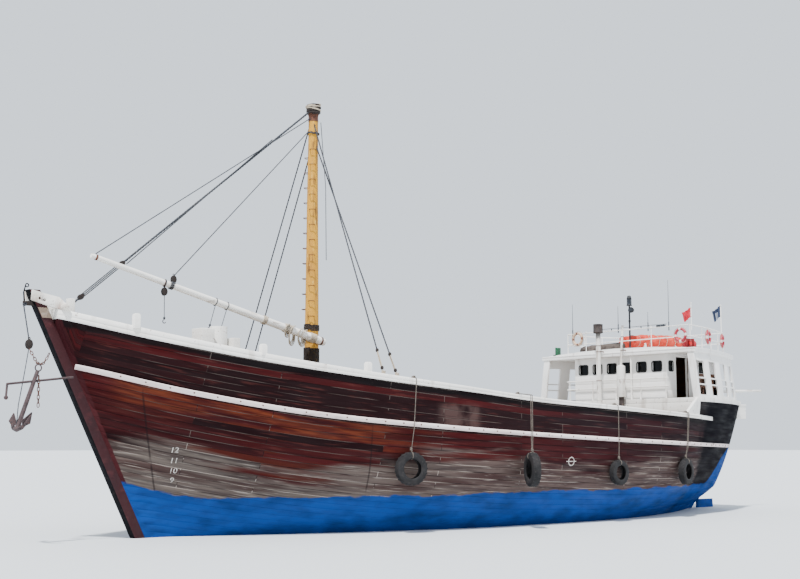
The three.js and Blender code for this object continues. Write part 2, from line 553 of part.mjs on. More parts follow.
// Poop: raised after part of the hull, its white band, and the deckhouse outline that follows it
const poopStations = [POOP.x, ...AFT_STATIONS.slice(1)];
place('poop', twoSided(poopStations, poopStations.map((x) => {
  const low = deckAt(x) + GAP;
  return [0, 0.5, 1].map((t) => low + t * (POOP.z - low)).map((z) => [halfBreadth(x, z), z]);
})), 'black_paint');
const houseStations = [POOP.x - 20, -11200, -12400, -13400, -14200, -14800, -15300];
const poopEdge = (x) => halfBreadth(x, POOP.z);
const band = loft(poopStations.map((x) => {
  const [low, y] = [POOP.z + GAP, poopEdge(x)];
  return [[x, y + 40, low], [x, y + 40, low + 160], [x, y - 120, low + 160], [x, y - 120, low]];
}));
const bandTop = POOP.z + GAP + 160;
const across = (x0, x1) => box(x0, x1, -poopEdge(x1), poopEdge(x1), POOP.z + GAP, bandTop);
const FRONT_RAIL = { x: -9990, reach: 2580, radius: 25, levels: [4880, 5210], posts: 5 };
const VENT_PIPE = { y: 770, radius: 32 };
const WING = { fore: -8950, aft: -9690, thick: 110 };
const frontRail = FRONT_RAIL.levels.map((z) => bar([FRONT_RAIL.x, -FRONT_RAIL.reach, z],
  [FRONT_RAIL.x, FRONT_RAIL.reach, z], FRONT_RAIL.radius));
for (let i = 0; i < FRONT_RAIL.posts; i += 1) {
  const y = FRONT_RAIL.reach * 0.95 * (2 * i / (FRONT_RAIL.posts - 1) - 1);
  frontRail.push(bar([FRONT_RAIL.x, y, bandTop - 40], [FRONT_RAIL.x, y, FRONT_RAIL.levels[1]], FRONT_RAIL.radius));
}
frontRail.push(bar([FRONT_RAIL.x, VENT_PIPE.y, bandTop - 40], [FRONT_RAIL.x, VENT_PIPE.y, ROOF.low - GAP],
  VENT_PIPE.radius));
// Sloping end of the poop's side, standing on the rail
const wingRing = (x, top) => {
  const low = Math.max(facetHeight(railTop, x), railTop(x)) + GAP;
  return [[x, halfBreadth(x, low) + 10, low], [x, halfBreadth(x, top) + 10, top],
    [x, halfBreadth(x, top) - WING.thick, top], [x, halfBreadth(x, low) - WING.thick, low]];
};
const wing = join(
  loft([wingRing(WING.fore, railTop(WING.fore) + 40), wingRing(WING.aft, bandTop), wingRing(POOP.x + GAP, bandTop)]),
  loft([WING.aft, POOP.x - 60].map((x) => [[x, halfBreadth(x, bandTop) + 10, POOP.z + GAP],
    [x, halfBreadth(x, bandTop) + 10, bandTop], [x, halfBreadth(x, bandTop) - WING.thick, bandTop],
    [x, halfBreadth(x, bandTop) - WING.thick, POOP.z + GAP]])),
);
place('poop_band', join(band, mirrored(band), across(COUNTER.x, COUNTER.x + 160), across(POOP.x - 160, POOP.x),
  wing, mirrored(wing), ...frontRail), 'white_paint');

// Wheelhouse: walls with windows and two side doorways cut
const HOUSE = { fore: -10200, aft: -13600, half: 2340, wall: 80, floor: POOP.z + GAP };
const WINDOW = { count: 6, pitch: 750, width: 480, low: 5480, high: 5880 };
const DOOR = { fore: -10800, aft: -11500, low: HOUSE.floor + 60, high: 6040, thick: 40 };
const houseTop = ROOF.low - GAP;
const openings = [];
for (let i = 0; i < WINDOW.count; i += 1) {
  const y = (i - (WINDOW.count - 1) / 2) * WINDOW.pitch;
  openings.push(box(HOUSE.fore - 500, HOUSE.fore + 100, y - WINDOW.width / 2, y + WINDOW.width / 2, WINDOW.low,
    WINDOW.high));
}
for (const [fore, aft, low, high] of [[-10330, -10640, WINDOW.low, WINDOW.high],
  [DOOR.fore, DOOR.aft, DOOR.low, DOOR.high], [-12000, -12700, WINDOW.low, WINDOW.high]]) {
  openings.push(box(aft, fore, -HOUSE.half - 100, HOUSE.half + 100, low, high));
}
const HINGE = { x: DOOR.aft - 15, y: HOUSE.half + 30, radius: 14 };
const hingeLugs = [];
for (const side of [1, -1]) {
  const [inner, outer] = [side * (HOUSE.half - 40), side * (HINGE.y + 20)];
  for (const [low, high] of [[DOOR.low - 30, DOOR.low - 0.6], [DOOR.high + 0.6, DOOR.high + 30]]) {
    hingeLugs.push(box(HINGE.x - 25, HINGE.x + 25, Math.min(inner, outer), Math.max(inner, outer), low, high));
  }
}
const houseBlock = join(box(HOUSE.aft, HOUSE.fore, -HOUSE.half, HOUSE.half, HOUSE.floor, houseTop), ...hingeLugs);
place('wheelhouse_walls', cut(
  houseBlock,
  box(HOUSE.aft + HOUSE.wall, HOUSE.fore - HOUSE.wall, -HOUSE.half + HOUSE.wall, HOUSE.half - HOUSE.wall,
    HOUSE.floor - 10, houseTop + 10),
  ...openings,
), 'white_paint');
place('front_glass', box(HOUSE.fore - HOUSE.wall - GAP - 6, HOUSE.fore - HOUSE.wall - GAP, -2200, 2200,
  WINDOW.low - 40, WINDOW.high + 40), 'glass');
// Each door hangs on the after edge of its doorway; the port one is hooked back, the other is shut
for (const [side, name, opens] of [[1, 'port', -1], [-1, 'starboard', 1]]) {
  const y = side * HINGE.y;
  const [near, far] = [HINGE.x + opens * HINGE.radius, HINGE.x + opens * (DOOR.fore - DOOR.aft - 10)];
  place(`wheelhouse_door_${name}`, join(
    box(Math.min(near, far), Math.max(near, far), y - DOOR.thick / 2, y + DOOR.thick / 2, DOOR.low, DOOR.high),
    bar([HINGE.x, y, DOOR.low], [HINGE.x, y, DOOR.high], HINGE.radius + 4, HINGE.radius + 4, 12),
  ), 'white_paint');
}

// Roof over wheelhouse and side galleries, cambered, following the poop's outline
const roofEdge = (x) => poopEdge(x) - 230;
place('wheelhouse_roof', loft(houseStations.map((x) => {
  const y = roofEdge(x);
  const [low, high] = [ROOF.low, ROOF.low + ROOF.edge];
  return [[x, -y, low], [x, y, low], [x, y + 20, high], [x, y * 0.5, high + ROOF.camber * 0.75],
    [x, 0, high + ROOF.camber], [x, -y * 0.5, high + ROOF.camber * 0.75], [x, -y - 20, high]];
})), 'white_paint');

// Side screens: thin walls from the poop band to the roof, with tall openings
const screenStations = houseStations.map((x) => Math.min(Math.max(x, -14900), POOP.x - 60));
const screen = loft(screenStations.map((x) => {
  const [low, high] = [POOP.z + GAP * 2 + 160, ROOF.low - GAP];
  return [[x, poopEdge(x) - 30, low], [x, roofEdge(x) - 40, high], [x, roofEdge(x) - 110, high],
    [x, poopEdge(x) - 100, low]];
}));
// columns: fore and aft end of each opening
const GALLERY = [[-10030, -10730], [-11210, -11920], [-12550, -13280], [-13850, -14500]];
// columns: low and high edge of the gaps between an opening's rails
const BAYS = [[4520, 4890], [4940, 5140], [5190, 5820]];
const galleryCuts = GALLERY.flatMap(([fore, aft]) => BAYS.map(([low, high]) => box(aft, fore, 1000, 4600, low, high)));
// Broad corner post facing forward
const POST = { fore: POOP.x - 30, thick: 60, wide: 300 };
const cornerPost = loft([POST.fore, POST.fore - POST.thick].map((x) => {
  const [low, high] = [bandTop + GAP, ROOF.low - GAP];
  const [foot, head] = [poopEdge(x) - 30, roofEdge(x) - 40];
  return [[x, foot, low], [x, head, high], [x, head - POST.wide, high], [x, foot - POST.wide, low]];
}));
pair('gallery_screen', join(cut(screen, ...galleryCuts), cornerPost), 'white_paint');

// Engine exhausts in front of the wheelhouse
const EXHAUST = { x: -9720, radius: 95, sleeve: 165 };
const exhaustFoot = (radius) => seatHeight(deckAt, EXHAUST.x, EXHAUST.x + radius);
place('exhaust_main', join(
  bar([EXHAUST.x, -660, exhaustFoot(EXHAUST.radius)], [EXHAUST.x, -660, 7150], EXHAUST.radius, EXHAUST.radius, 14),
  bar([EXHAUST.x, -660, 7110], [EXHAUST.x, -660, 7480], 200, 190, 14),
), 'rusty_iron');
place('exhaust_second', join(
  bar([EXHAUST.x, 480, exhaustFoot(110)], [EXHAUST.x, 480, 4600], 110, 110, 14),
  bar([EXHAUST.x, 480, 4500], [EXHAUST.x, 480, 5730], EXHAUST.sleeve, EXHAUST.sleeve, 14),
  bar([EXHAUST.x, 480, 5680], [EXHAUST.x, 600, 7340], 45, 45, 10),
), 'white_paint');

// Pipe rail around the roof, with the aerials and flagstaffs clamped to it
const TOP_RAIL = { fore: -10250, aft: -14700, rise: 880, radius: 22, post: 25, end: 19 };
const ROOF_EDGES = houseStations.map((x) => [x, roofEdge(x) + 20]).reverse();
function roofHigh(x, y) {
  const t = Math.abs(y) / heightAt(ROOF_EDGES, x);
  return ROOF.low + ROOF.edge + ROOF.camber * (t < 0.5 ? 1 - 0.5 * t : 1.5 * (1 - t));
}
const railSide = (x) => roofEdge(x) - 350;
// The starboard side rail stands further in at its fore end
const railAt = (x, side) => side * (railSide(x) - (side < 0 ? 700 * Math.min(Math.max((x + 12500) / 2250, 0), 1) : 0));
const railFoot = (x, side = 1) => roofHigh(x + TOP_RAIL.post, Math.abs(railAt(x, side)) - TOP_RAIL.post) + GAP * 3.4;
const railXs = [TOP_RAIL.fore, -11400, -12500, -13600, TOP_RAIL.aft];
const railParts = [];
for (const side of [1, -1]) {
  railXs.forEach((x, i) => {
    const y = railAt(x, side);
    const base = railFoot(x, side);
    const top = railFoot(x);
    railParts.push(bar([x, y, base], [x, y, top + TOP_RAIL.rise + 8], TOP_RAIL.post));
    if (i === 0) return;
    const before = railXs[i - 1];
    for (const level of [0.5, 1]) {
      const up = TOP_RAIL.rise * level;
      railParts.push(bar([before, railAt(before, side), railFoot(before) + up], [x, y, top + up], TOP_RAIL.radius));
    }
  });
}
for (const x of [TOP_RAIL.fore, TOP_RAIL.aft]) {
  for (const level of [0.5, 1]) {
    const z = railFoot(x) + TOP_RAIL.rise * level;
    railParts.push(bar([x, railAt(x, -1), z + 4], [x, railAt(x, 1), z + 4], TOP_RAIL.end));
  }
}
// columns: x, y, height above the rail, radius
const AERIALS = [[-10253, -2480, 1210, 14], [-10253, -50, 870, 14], [-10253, 1450, 540, 12], [-10253, 2460, 1760, 12],
  [-10390, railSide(-10390) + 6, 880, 18], [-14703, railSide(-14703) - 60, 1200, 20]];
for (const [x, y, rise, radius] of AERIALS) {
  const z = roofHigh(x, y) + TOP_RAIL.rise;
  railParts.push(bar([x, y, z - 200], [x, y, z + rise], radius, radius, 6));
}
place('roof_rail', join(...railParts), 'white_paint');

// Life raft in its cover, on the roof
const RAFT = { fore: -10700, aft: -13100, half: 520, rise: 560 };
const raftY = (x) => 0.44 * (RAFT.fore - x) - 100;
const raftRings = [0, 0.12, 0.3, 0.7, 0.88, 1].map((t) => {
  const x = RAFT.fore + t * (RAFT.aft - RAFT.fore);
  const full = 0.35 + 0.65 * Math.sqrt(Math.sin(Math.PI * (0.05 + 0.9 * t)));
  const low = roofHigh(x, raftY(x)) + 60;
  return [[1, 0.25], [0.85, 0.8], [0.35, 1], [-0.35, 1], [-0.85, 0.8], [-1, 0.25], [-0.6, 0], [0.6, 0]]
    .map(([over, up]) => [x, raftY(x) + over * RAFT.half * full, low + up * RAFT.rise * (0.6 + 0.4 * full)]);
});
const cradles = [-11250, -12500].map((x) => box(x - 60, x + 60, raftY(x) - 330, raftY(x) + 330,
  roofHigh(x + 60, Math.max(raftY(x) - 330, 0)) + GAP * 4,
  roofHigh(x, raftY(x)) + 200));
place('life_raft', join(loft(raftRings), ...cradles), 'orange_cover');

// Lifebuoys on the roof rail: two face forward, two face the port side
const BUOY = { radius: 235, tube: 55, sideRise: 520 };
const buoyOff = (pipe) => BUOY.tube + pipe + GAP;
// columns: name, y of the centre, its height above the rail's foot
for (const [name, y, rise] of [['fore_starboard', -2150, 660], ['fore_port', 3060, 500]]) {
  const z = railFoot(TOP_RAIL.fore) + rise;
  place(`lifebuoy_${name}`, ring([TOP_RAIL.fore + buoyOff(TOP_RAIL.end), y, z], [1, 0, 0], BUOY.radius, BUOY.tube),
    'orange_cover');
}
// columns: name, which stretch of the side rail carries it
for (const [name, stretch] of [['side_fore', 1], ['side_aft', 3]]) {
  const [fore, aft] = [railXs[stretch], railXs[stretch + 1]];
  const facing = new THREE.Vector3(railSide(aft) - railSide(fore), fore - aft, 0).normalize();
  const centre = new THREE.Vector3((fore + aft) / 2, (railSide(fore) + railSide(aft)) / 2,
    (railFoot(fore) + railFoot(aft)) / 2 + BUOY.sideRise).addScaledVector(facing, buoyOff(TOP_RAIL.radius));
  place(`lifebuoy_${name}`, ring(centre.toArray(), facing.toArray(), BUOY.radius, BUOY.tube), 'orange_cover');
}

// Lantern mast, side lamps on their boards, two flags
const LANTERN = { x: -10420, y: 400, top: 8610 };
const lanternFoot = roofHigh(LANTERN.x, LANTERN.y - 35) + GAP;
place('lantern_mast', join(
  bar([LANTERN.x, LANTERN.y, lanternFoot], [LANTERN.x, LANTERN.y, LANTERN.top - 300], 35),
  bar([LANTERN.x, LANTERN.y, LANTERN.top - 420], [LANTERN.x, LANTERN.y, LANTERN.top], 100, 80, 12),
  box(LANTERN.x - 60, LANTERN.x + 60, LANTERN.y + 20, LANTERN.y + 220, 7870, 8140),
), 'black_paint');
for (const [name, side, finish] of [['lamp_port', 1, 'red_lamp'], ['lamp_starboard', -1, 'green_lamp']]) {
  const [x, y] = [-10060, side > 0 ? 3560 : -3180];
  const foot = roofHigh(x + 160, Math.abs(y) - 50) + GAP;
  place(name, join(box(x - 160, x + 160, y - side * 30 - 20, y - side * 30 + 20, foot, foot + 330),
    bar([x, y + side * 40, foot + 60], [x, y + side * 40, foot + 260], 70, 70, 10)), finish);
}
// columns: name, aerial that carries it, width as it hangs, height, its drop below the staff's head, finish
const FLAGS = [['flag_fore', 4, 300, 360, 240, 'red_cloth'], ['flag_aft', 5, 300, 460, 40, 'blue_cloth']];
for (const [name, carrier, width, height, drop, finish] of FLAGS) {
  const [x, y, rise, radius] = AERIALS[carrier];
  const top = roofHigh(x, y) + TOP_RAIL.rise + rise - drop;
  place(name, box(x - 6, x + 6, y - radius - GAP - width, y - radius - GAP, top - height, top), finish);
}

// Box hung outside the stern, and the spar that sticks out over it
place('stern_box', join(box(COUNTER.x - 640, COUNTER.x - GAP, 1250, 1850, 3700, 4250),
  box(COUNTER.x - 670, COUNTER.x - 45, 1220, 1880, 4250, 4300)), 'white_paint');
place('stern_spar', join(bar([-14900, 1500, bandTop + 420], [-17850, 1500, bandTop + 520], 60, 45, 10),
  bar([-15420, 1500, bandTop + GAP], [-15420, 1500, bandTop + 430], 45, 45, 10)), 'white_paint');

export default boat;
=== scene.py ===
import math
from math import cos, pi, radians, sin

import bmesh
import bpy
import numpy as np
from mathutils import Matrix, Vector


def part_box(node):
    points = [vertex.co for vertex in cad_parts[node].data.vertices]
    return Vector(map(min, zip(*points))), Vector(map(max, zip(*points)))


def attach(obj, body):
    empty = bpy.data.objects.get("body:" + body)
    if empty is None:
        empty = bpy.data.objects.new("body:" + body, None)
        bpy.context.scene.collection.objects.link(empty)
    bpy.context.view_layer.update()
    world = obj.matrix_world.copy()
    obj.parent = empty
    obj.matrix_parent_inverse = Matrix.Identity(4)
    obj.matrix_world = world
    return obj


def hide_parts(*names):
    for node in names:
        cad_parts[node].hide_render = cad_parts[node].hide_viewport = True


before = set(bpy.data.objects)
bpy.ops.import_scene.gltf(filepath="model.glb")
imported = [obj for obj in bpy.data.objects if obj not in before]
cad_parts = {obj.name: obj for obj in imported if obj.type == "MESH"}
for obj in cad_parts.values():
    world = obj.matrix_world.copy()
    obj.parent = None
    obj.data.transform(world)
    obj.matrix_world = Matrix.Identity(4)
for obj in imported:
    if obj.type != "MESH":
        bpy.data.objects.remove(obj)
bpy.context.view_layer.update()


# Camera
# It stands on the quay ahead of the boat and to port, with its lens at eye height,
# and looks up a little at the hull.
EYE = Vector((29.91, 32.84, 2.70))
HEADING, TILT = radians(-130.9), radians(6.89)
LENS = 57.15


def put_in(name, data):
    """An object in the scene, at its origin."""
    made = bpy.data.objects.new(name, data)
    bpy.context.scene.collection.objects.link(made)
    return made


camera = put_in("camera", bpy.data.cameras.new("camera"))
camera.data.lens = LENS
sight = Vector((cos(HEADING) * cos(TILT), sin(HEADING) * cos(TILT), sin(TILT)))
camera.rotation_mode = "QUATERNION"
camera.location = EYE
camera.rotation_quaternion = sight.to_track_quat("-Z", "Y")
bpy.context.scene.camera = camera


# Hull planking
# Long hardwood planks on frames, caulked between their edges and oiled a dark red-brown. They run
# parallel to the rubbing strake, from the raked stem back to the flat counter.
STEM_HEAD_X, STEM_HEAD_Z, STEM_RAKE, STEM_DEPTH = 15.0, 6.88, 0.499, 0.32
PROW_X, POOP_X, STERN_X, COUNTER_X = 13.6, -9.9, -14.2, -15.5
POOP_DECK = 4.25
RUB_DEEP, RUB_PROUD = 0.15, 0.085
# SEAT is the clearance between a piece and what carries it
SEAT = 0.0004
PLANK, SEAM, SEAM_DEPTH, STATION = 0.2, 0.007, 0.007, 0.25
# columns: x, z of the top of the rail
SHEER = [(-15.5, 3.56), (-10.4, 3.73), (-4.0, 4.03), (-0.9, 4.18), (1.8, 4.4), (5.5, 4.74),
         (8.8, 5.175), (11.6, 5.7), (13.4, 6.14), (15.0, 6.6)]
# columns: x, z of the top of the rubbing strake
RUB_LINE = [(-15.5, 2.65), (-9.2, 2.75), (-2.4, 2.985), (3.1, 3.25), (7.4, 3.61), (10.8, 4.18),
            (13.4, 4.83), (15.0, 5.27)]
# columns: x, height up to which the planks are bleached; then the same for the blue paint
BLEACHED = [(-15.0, 2.1), (-6.6, 2.03), (-1.9, 1.8), (0.0, 2.2), (3.7, 2.34), (6.2, 2.0), (7.5, 1.66),
            (9.1, 1.92), (10.2, 2.36), (11.0, 2.61), (12.4, 2.78), (13.6, 3.05)]
BLUE_TOP = [(-15.5, 2.6), (-14.0, 2.1), (-12.6, 1.12), (9.8, 1.1), (11.2, 1.33), (11.6, 1.51), (12.6, 1.66)]


def height_at(table, x):
    """Smooth height at x through a table of rising x."""
    last = len(table) - 1
    i = next((k for k in range(last - 1) if x <= table[k + 1][0]), last - 1)

    def slope(k):
        low, high = table[max(k - 1, 0)], table[min(k + 1, last)]
        return (high[1] - low[1]) / (high[0] - low[0])

    (x0, z0), (x1, z1) = table[i], table[i + 1]
    span = x1 - x0
    t = min(max((x - x0) / span, 0), 1)
    ease = t * t * (3 - 2 * t)
    return z0 * (1 - ease) + z1 * ease + span * t * (1 - t) * (slope(i) * (1 - t) - slope(i + 1) * t)


def rail_top(x):
    return height_at(SHEER, x)


def rub_top(x):
    return height_at(RUB_LINE, x)


def deck_at(x):
    return rail_top(x) - 1.0


def cap_depth(x):
    return 0.15 + 0.12 * min(max((x - 1) / 12, 0), 1)


def stem_front(z):
    return STEM_HEAD_X - (STEM_HEAD_Z - z) * STEM_RAKE


def keel_top(x):
    return -0.9 - 0.7 * (11 - x) / 26.45


def hull_low(x):
    """Underside of the planking: on the raked stem, on the keel, then up the counter."""
    if x < STERN_X:
        return -0.3 + 1.2 * (STERN_X - x) / (STERN_X - COUNTER_X)
    return max(STEM_HEAD_Z - (STEM_HEAD_X - STEM_DEPTH - x) / STEM_RAKE, keel_top(x))


def half_breadth(x, z):
    """Distance from the centreline to the planking, at x and height z."""
    z = np.asarray(z, float)
    bottom = keel_top(x)
    rise = np.clip((z - bottom) / (3.2 - bottom), 0, 1)
    midship = (1 - (1 - rise) ** 3.2) ** 0.62
    from_stem = np.clip((stem_front(z) - STEM_DEPTH * 0.7 - x) / (12 - 0.17 * z), 0, 1)
    entry = (1 - (1 - from_stem) ** 2) ** (1.35 - 0.1 * z)
    end = STERN_X - (STERN_X - COUNTER_X) * np.clip((z + 0.3) / 1.2, 0, 1)
    from_stern = np.clip((x - end) / (7.5 + 0.8 * np.maximum(4.3 - z, 0)), 0, 1)
    ratio = 0.465 * (np.maximum(z - 0.3, 0) / 4) ** 0.6
    run = 1 - (1 - ratio) * (1 - from_stern) ** 1.8
    return np.maximum(4.3 * midship * entry * run, 0.15)


def side_at(x, z):
    return float(half_breadth(x, z))


def around(count, last=0):
    """Angles of equal steps round a circle, and the first again at the end if last is 1."""
    return [2 * pi * k / count for k in range(count + last)]


def linear(colour):
    """sRGB hex to linear colour."""
    parts = [int(colour[i:i + 2], 16) / 255 for i in (1, 3, 5)]
    return (*[c / 12.92 if c <= 0.04045 else ((c + 0.055) / 1.055) ** 2.4 for c in parts], 1.0)


def feed(tree, node, settings):
    """Sets up a node. A key is a property, or an input's name or number; a node or a socket is
    linked and an sRGB hex colour made linear."""
    for key, value in settings.items():
        if isinstance(key, str) and key not in node.inputs:
            setattr(node, key, value)
        elif isinstance(value, (bpy.types.Node, bpy.types.NodeSocket)):
            tree.links.new(value.outputs[0] if isinstance(value, bpy.types.Node) else value, node.inputs[key])
        else:
            colour = isinstance(value, str) and value.startswith("#")
            node.inputs[key].default_value = linear(value) if colour else value
    return node


def add(tree, kind, settings):
    """A new node, set up."""
    return feed(tree, tree.nodes.new(kind), settings)


def new_finish(name, slot, **fixed):
    """A material with its shader, whose fixed values sit on the shader's own sockets. The slot is not used."""
    material = bpy.data.materials.new(name)
    material.use_nodes = True
    tree = material.node_tree
    tree.nodes.clear()
    shader = add(tree, "ShaderNodeBsdfPrincipled", fixed)
    add(tree, "ShaderNodeOutputMaterial", {"Surface": shader})
    where = add(tree, "ShaderNodeTexCoord", {})
    return material, tree, shader, where


def patch(tree, where, stretch, detail, low, high, strength=1.0):
    """Share of the surface that a cloudy patch covers; stretch is patches to the metre, one
    number or one for each axis."""
    scale = stretch if isinstance(stretch, tuple) else (stretch,) * 3
    spot = add(tree, "ShaderNodeMapping", {"Vector": where, "Scale": scale})
    cloud = add(tree, "ShaderNodeTexNoise", {"Vector": spot, "Scale": 1.0, "Detail": detail})
    return add(tree, "ShaderNodeMapRange", {
        "Value": cloud, "From Min": low, "From Max": high, "To Max": strength,
    })


def over(tree, share, under, colour):
    """Lays a colour over what is under it."""
    return add(tree, "ShaderNodeMixRGB", {"Fac": share, "Color1": under, "Color2": colour})


def both(tree, one, other, operation="MULTIPLY"):
    return add(tree, "ShaderNodeMath", {"operation": operation, 0: one, 1: other})


def between(tree, value, low, high, top=1.0):
    """Rises smoothly from 0 at low to top at high."""
    return add(tree, "ShaderNodeMapRange", {
        "interpolation_type": "SMOOTHSTEP", "Value": value, "From Min": low, "From Max": high, "To Max": top,
    })


def spread(tree, value, low, high):
    """A share from 0 to 1 as a value from low to high."""
    return add(tree, "ShaderNodeMapRange", {"Value": value, "To Min": low, "To Max": high})


def relief(tree, height, strength, distance, invert=False):
    """Small unevenness of the surface, distance metres deep."""
    return add(tree, "ShaderNodeBump", {
        "Height": height, "Strength": strength, "Distance": distance, "invert": invert})


def along_table(tree, value, table, tallest=4.0):
    """Height read from a table of rising x."""
    share = add(tree, "ShaderNodeMapRange", {
        "Value": value, "From Min": table[0][0], "From Max": table[-1][0]})
    made = add(tree, "ShaderNodeFloatCurve", {"Value": share})
    curve = made.mapping.curves[0]
    for _ in table[2:]:
        curve.points.new(0.5, 0.5)
    for point, (x, z) in zip(curve.points, table):
        point.location = ((x - table[0][0]) / (table[-1][0] - table[0][0]), z / tallest)
        point.handle_type = "VECTOR"
    made.mapping.update()
    return both(tree, made, tallest)


# Oiled teak planks, brushed with oil year after year: dark red-brown with worn orange patches
# under the strake, bleached grey and streaked where the loaded boat lies in the water, tarred
# black on the quarter, with blue bottom paint below.
def oiled_planks():
    material, tree, shader, where = new_finish(
        "oiled_teak_planks", "hull_wood", **{"Specular IOR Level": 0.2})
    place, along = where.outputs["Object"], where.outputs["UV"]
    spot = add(tree, "ShaderNodeSeparateXYZ", {"Vector": place})
    x, z = spot.outputs[0], spot.outputs[2]
    under_strake = add(tree, "ShaderNodeSeparateXYZ", {"Vector": along}).outputs[1]
    under_rail = add(tree, "ShaderNodeSeparateXYZ", {
        "Vector": add(tree, "ShaderNodeUVMap", {"uv_map": "under_rail"})}).outputs[1]
    # planks 200 mm wide and some 5 m long; seams are drawn 20 mm wide, coarse enough to show
    planks = add(tree, "ShaderNodeTexBrick", {
        "Vector": along, "Scale": 1.0, "Mortar Size": 0.01, "Mortar Smooth": 0.4, "Bias": 0.0,
        "Brick Width": 5.3, "Row Height": PLANK, "offset": 0.37, "offset_frequency": 2,
        "Color1": (0, 0, 0, 1), "Color2": (1, 1, 1, 1), "Mortar": (0.5, 0.5, 0.5, 1),
    })
    tone, seam = planks.outputs
    wood = over(tree, tone, "#26090c", "#420e10")
    wood = over(tree, between(tree, tone, 0.34, 0.26, 0.85), wood, "#17070a")
    wood = over(tree, patch(tree, along, (0.35, 6.0, 1), 5, 0.46, 0.62, 0.6), wood, "#1a0609")
    wood = over(tree, patch(tree, along, (1.1, 12.0, 1), 5, 0.56, 0.7, 0.45), wood, "#5a2c27")
    wood = over(tree, both(tree, between(tree, x, 2.0, -6.0), 0.6), wood, "#1c1015")
    # some planks worn orange-brown under the strake, forward, and some redder low down
    belt = both(tree, between(tree, under_strake, -1.25, -0.95), between(tree, under_strake, -0.02, -0.12))
    belt = both(tree, belt, both(tree, between(tree, x, 2.5, 7.5), between(tree, x, 13.0, 12.2)))
    worn = both(tree, both(tree, belt, between(tree, tone, 0.4, 0.55)),
                patch(tree, along, (0.45, 4.0, 1), 5, 0.4, 0.55, 0.95))
    wood = over(tree, worn, wood, over(tree, patch(tree, along, (1.0, 12.0, 1), 4, 0.4, 0.6), "#461a12",
                                       "#68301c"))
    lower = both(tree, between(tree, under_strake, -0.7, -1.2), between(tree, x, -2.0, 5.0))
    lower = both(tree, lower, between(tree, tone, 0.45, 0.6))
    wood = over(tree, both(tree, lower, patch(tree, along, (0.4, 5.0, 1), 4, 0.4, 0.6, 0.75)), wood,
                "#47190f")
    # an old repair near the shrouds, its planks left paler
    repair = both(tree, both(tree, between(tree, x, 1.7, 2.1), between(tree, x, 3.7, 3.2)),
                  both(tree, between(tree, z, 3.0, 3.25), between(tree, z, 4.0, 3.75)))
    wood = over(tree, both(tree, repair, patch(tree, place, 2, 3, 0.3, 0.55, 0.65)), wood,
                "#54403c")
    # a dark band under the rail, partly tar and partly painted shadow cast by the cap rail, and smooth paint
    # beside the stem
    cap_shadow_and_tar = both(tree, under_rail, patch(tree, along, (0.8, 2.0, 1), 3, 0.3, 0.7, 0.08), "ADD")
    wood = over(tree, between(tree, cap_shadow_and_tar, 0.25, 0.17, 0.93), wood, "#0f080a")
    # bleached where the hull was under water, higher at the bow, with a broken edge
    ragged = both(tree, patch(tree, along, (0.35, 3.4, 1), 5, 0.25, 0.75, 1.0), 0.5, "SUBTRACT")
    depth = both(tree, both(tree, along_table(tree, x, BLEACHED), z, "SUBTRACT"), ragged, "ADD")
    bleached = between(tree, depth, -0.3, 0.32, 0.9)
    dried = over(tree, between(tree, x, -3.0, 9.5), "#5a4a45", "#655b54")
    grey = over(tree, patch(tree, along, (0.5, 9.0, 1), 5, 0.42, 0.66, 0.7), dried, "#2b2224")
    grey = over(tree, patch(tree, along, (0.3, 2.5, 1), 3, 0.5, 0.62, 0.75), grey, "#3a2826")
    grey = over(tree, patch(tree, along, (1.2, 18.0, 1), 4, 0.58, 0.7, 0.5), grey, "#a89e94")
    wood = over(tree, bleached, wood, grey)
    # light caulking shows in some seams, dark gaps in the others
    showing = spread(tree, bleached, 0.25, 1.0)
    pale_seams = both(tree, patch(tree, along, (0.35, 5.0, 1), 2, 0.48, 0.54),
                      both(tree, showing, between(tree, x, 12.8, 11.8)))
    wood = over(tree, both(tree, seam, 0.85), wood,
                over(tree, pale_seams, "#12080b", "#b9aca0"))
    # two dark streaks run down the side below the strake, leaning forward towards the top
    for run_x, lean in ((10.7, 0.31), (5.35, 0.12)):
        leaning = add(tree, "ShaderNodeMath", {"operation": "MULTIPLY_ADD", 0: z, 1: -lean, 2: x})
        off = both(tree, both(tree, leaning, run_x, "SUBTRACT"), 0, "ABSOLUTE")
        run = both(tree, between(tree, off, 0.035, 0.01), between(tree, under_strake, 0.02, -0.1))
        wood = over(tree, both(tree, run, patch(tree, place, (3, 3, 1.2), 3, 0.35, 0.5, 0.6)), wood,
                    "#140b0e")
    strip = add(tree, "ShaderNodeMath", {"operation": "MULTIPLY_ADD", 0: z, 1: -STEM_RAKE, 2: x})
    strip = between(tree, both(tree, strip, STEM_HEAD_X - STEM_HEAD_Z * STEM_RAKE, "SUBTRACT"), -0.47, -0.44)
    wood = over(tree, strip, wood, over(tree, patch(tree, place, (1.5, 1.5, 0.6), 4, 0.48, 0.68, 0.6),
                                        STEM_RED, STEM_RED_WORN))
    # tarred black on the quarter, with an edge as rough as the brush left it
    quarter = between(tree, both(tree, x, patch(tree, place, 2, 3, 0.3, 0.7, 0.5), "ADD"), -9.7, -10.6)
    wood = over(tree, both(tree, quarter, 0.95), wood,
                over(tree, patch(tree, place, (1, 1, 3), 4, 0.5, 0.7, 0.5), "#09090f", "#14131b"))
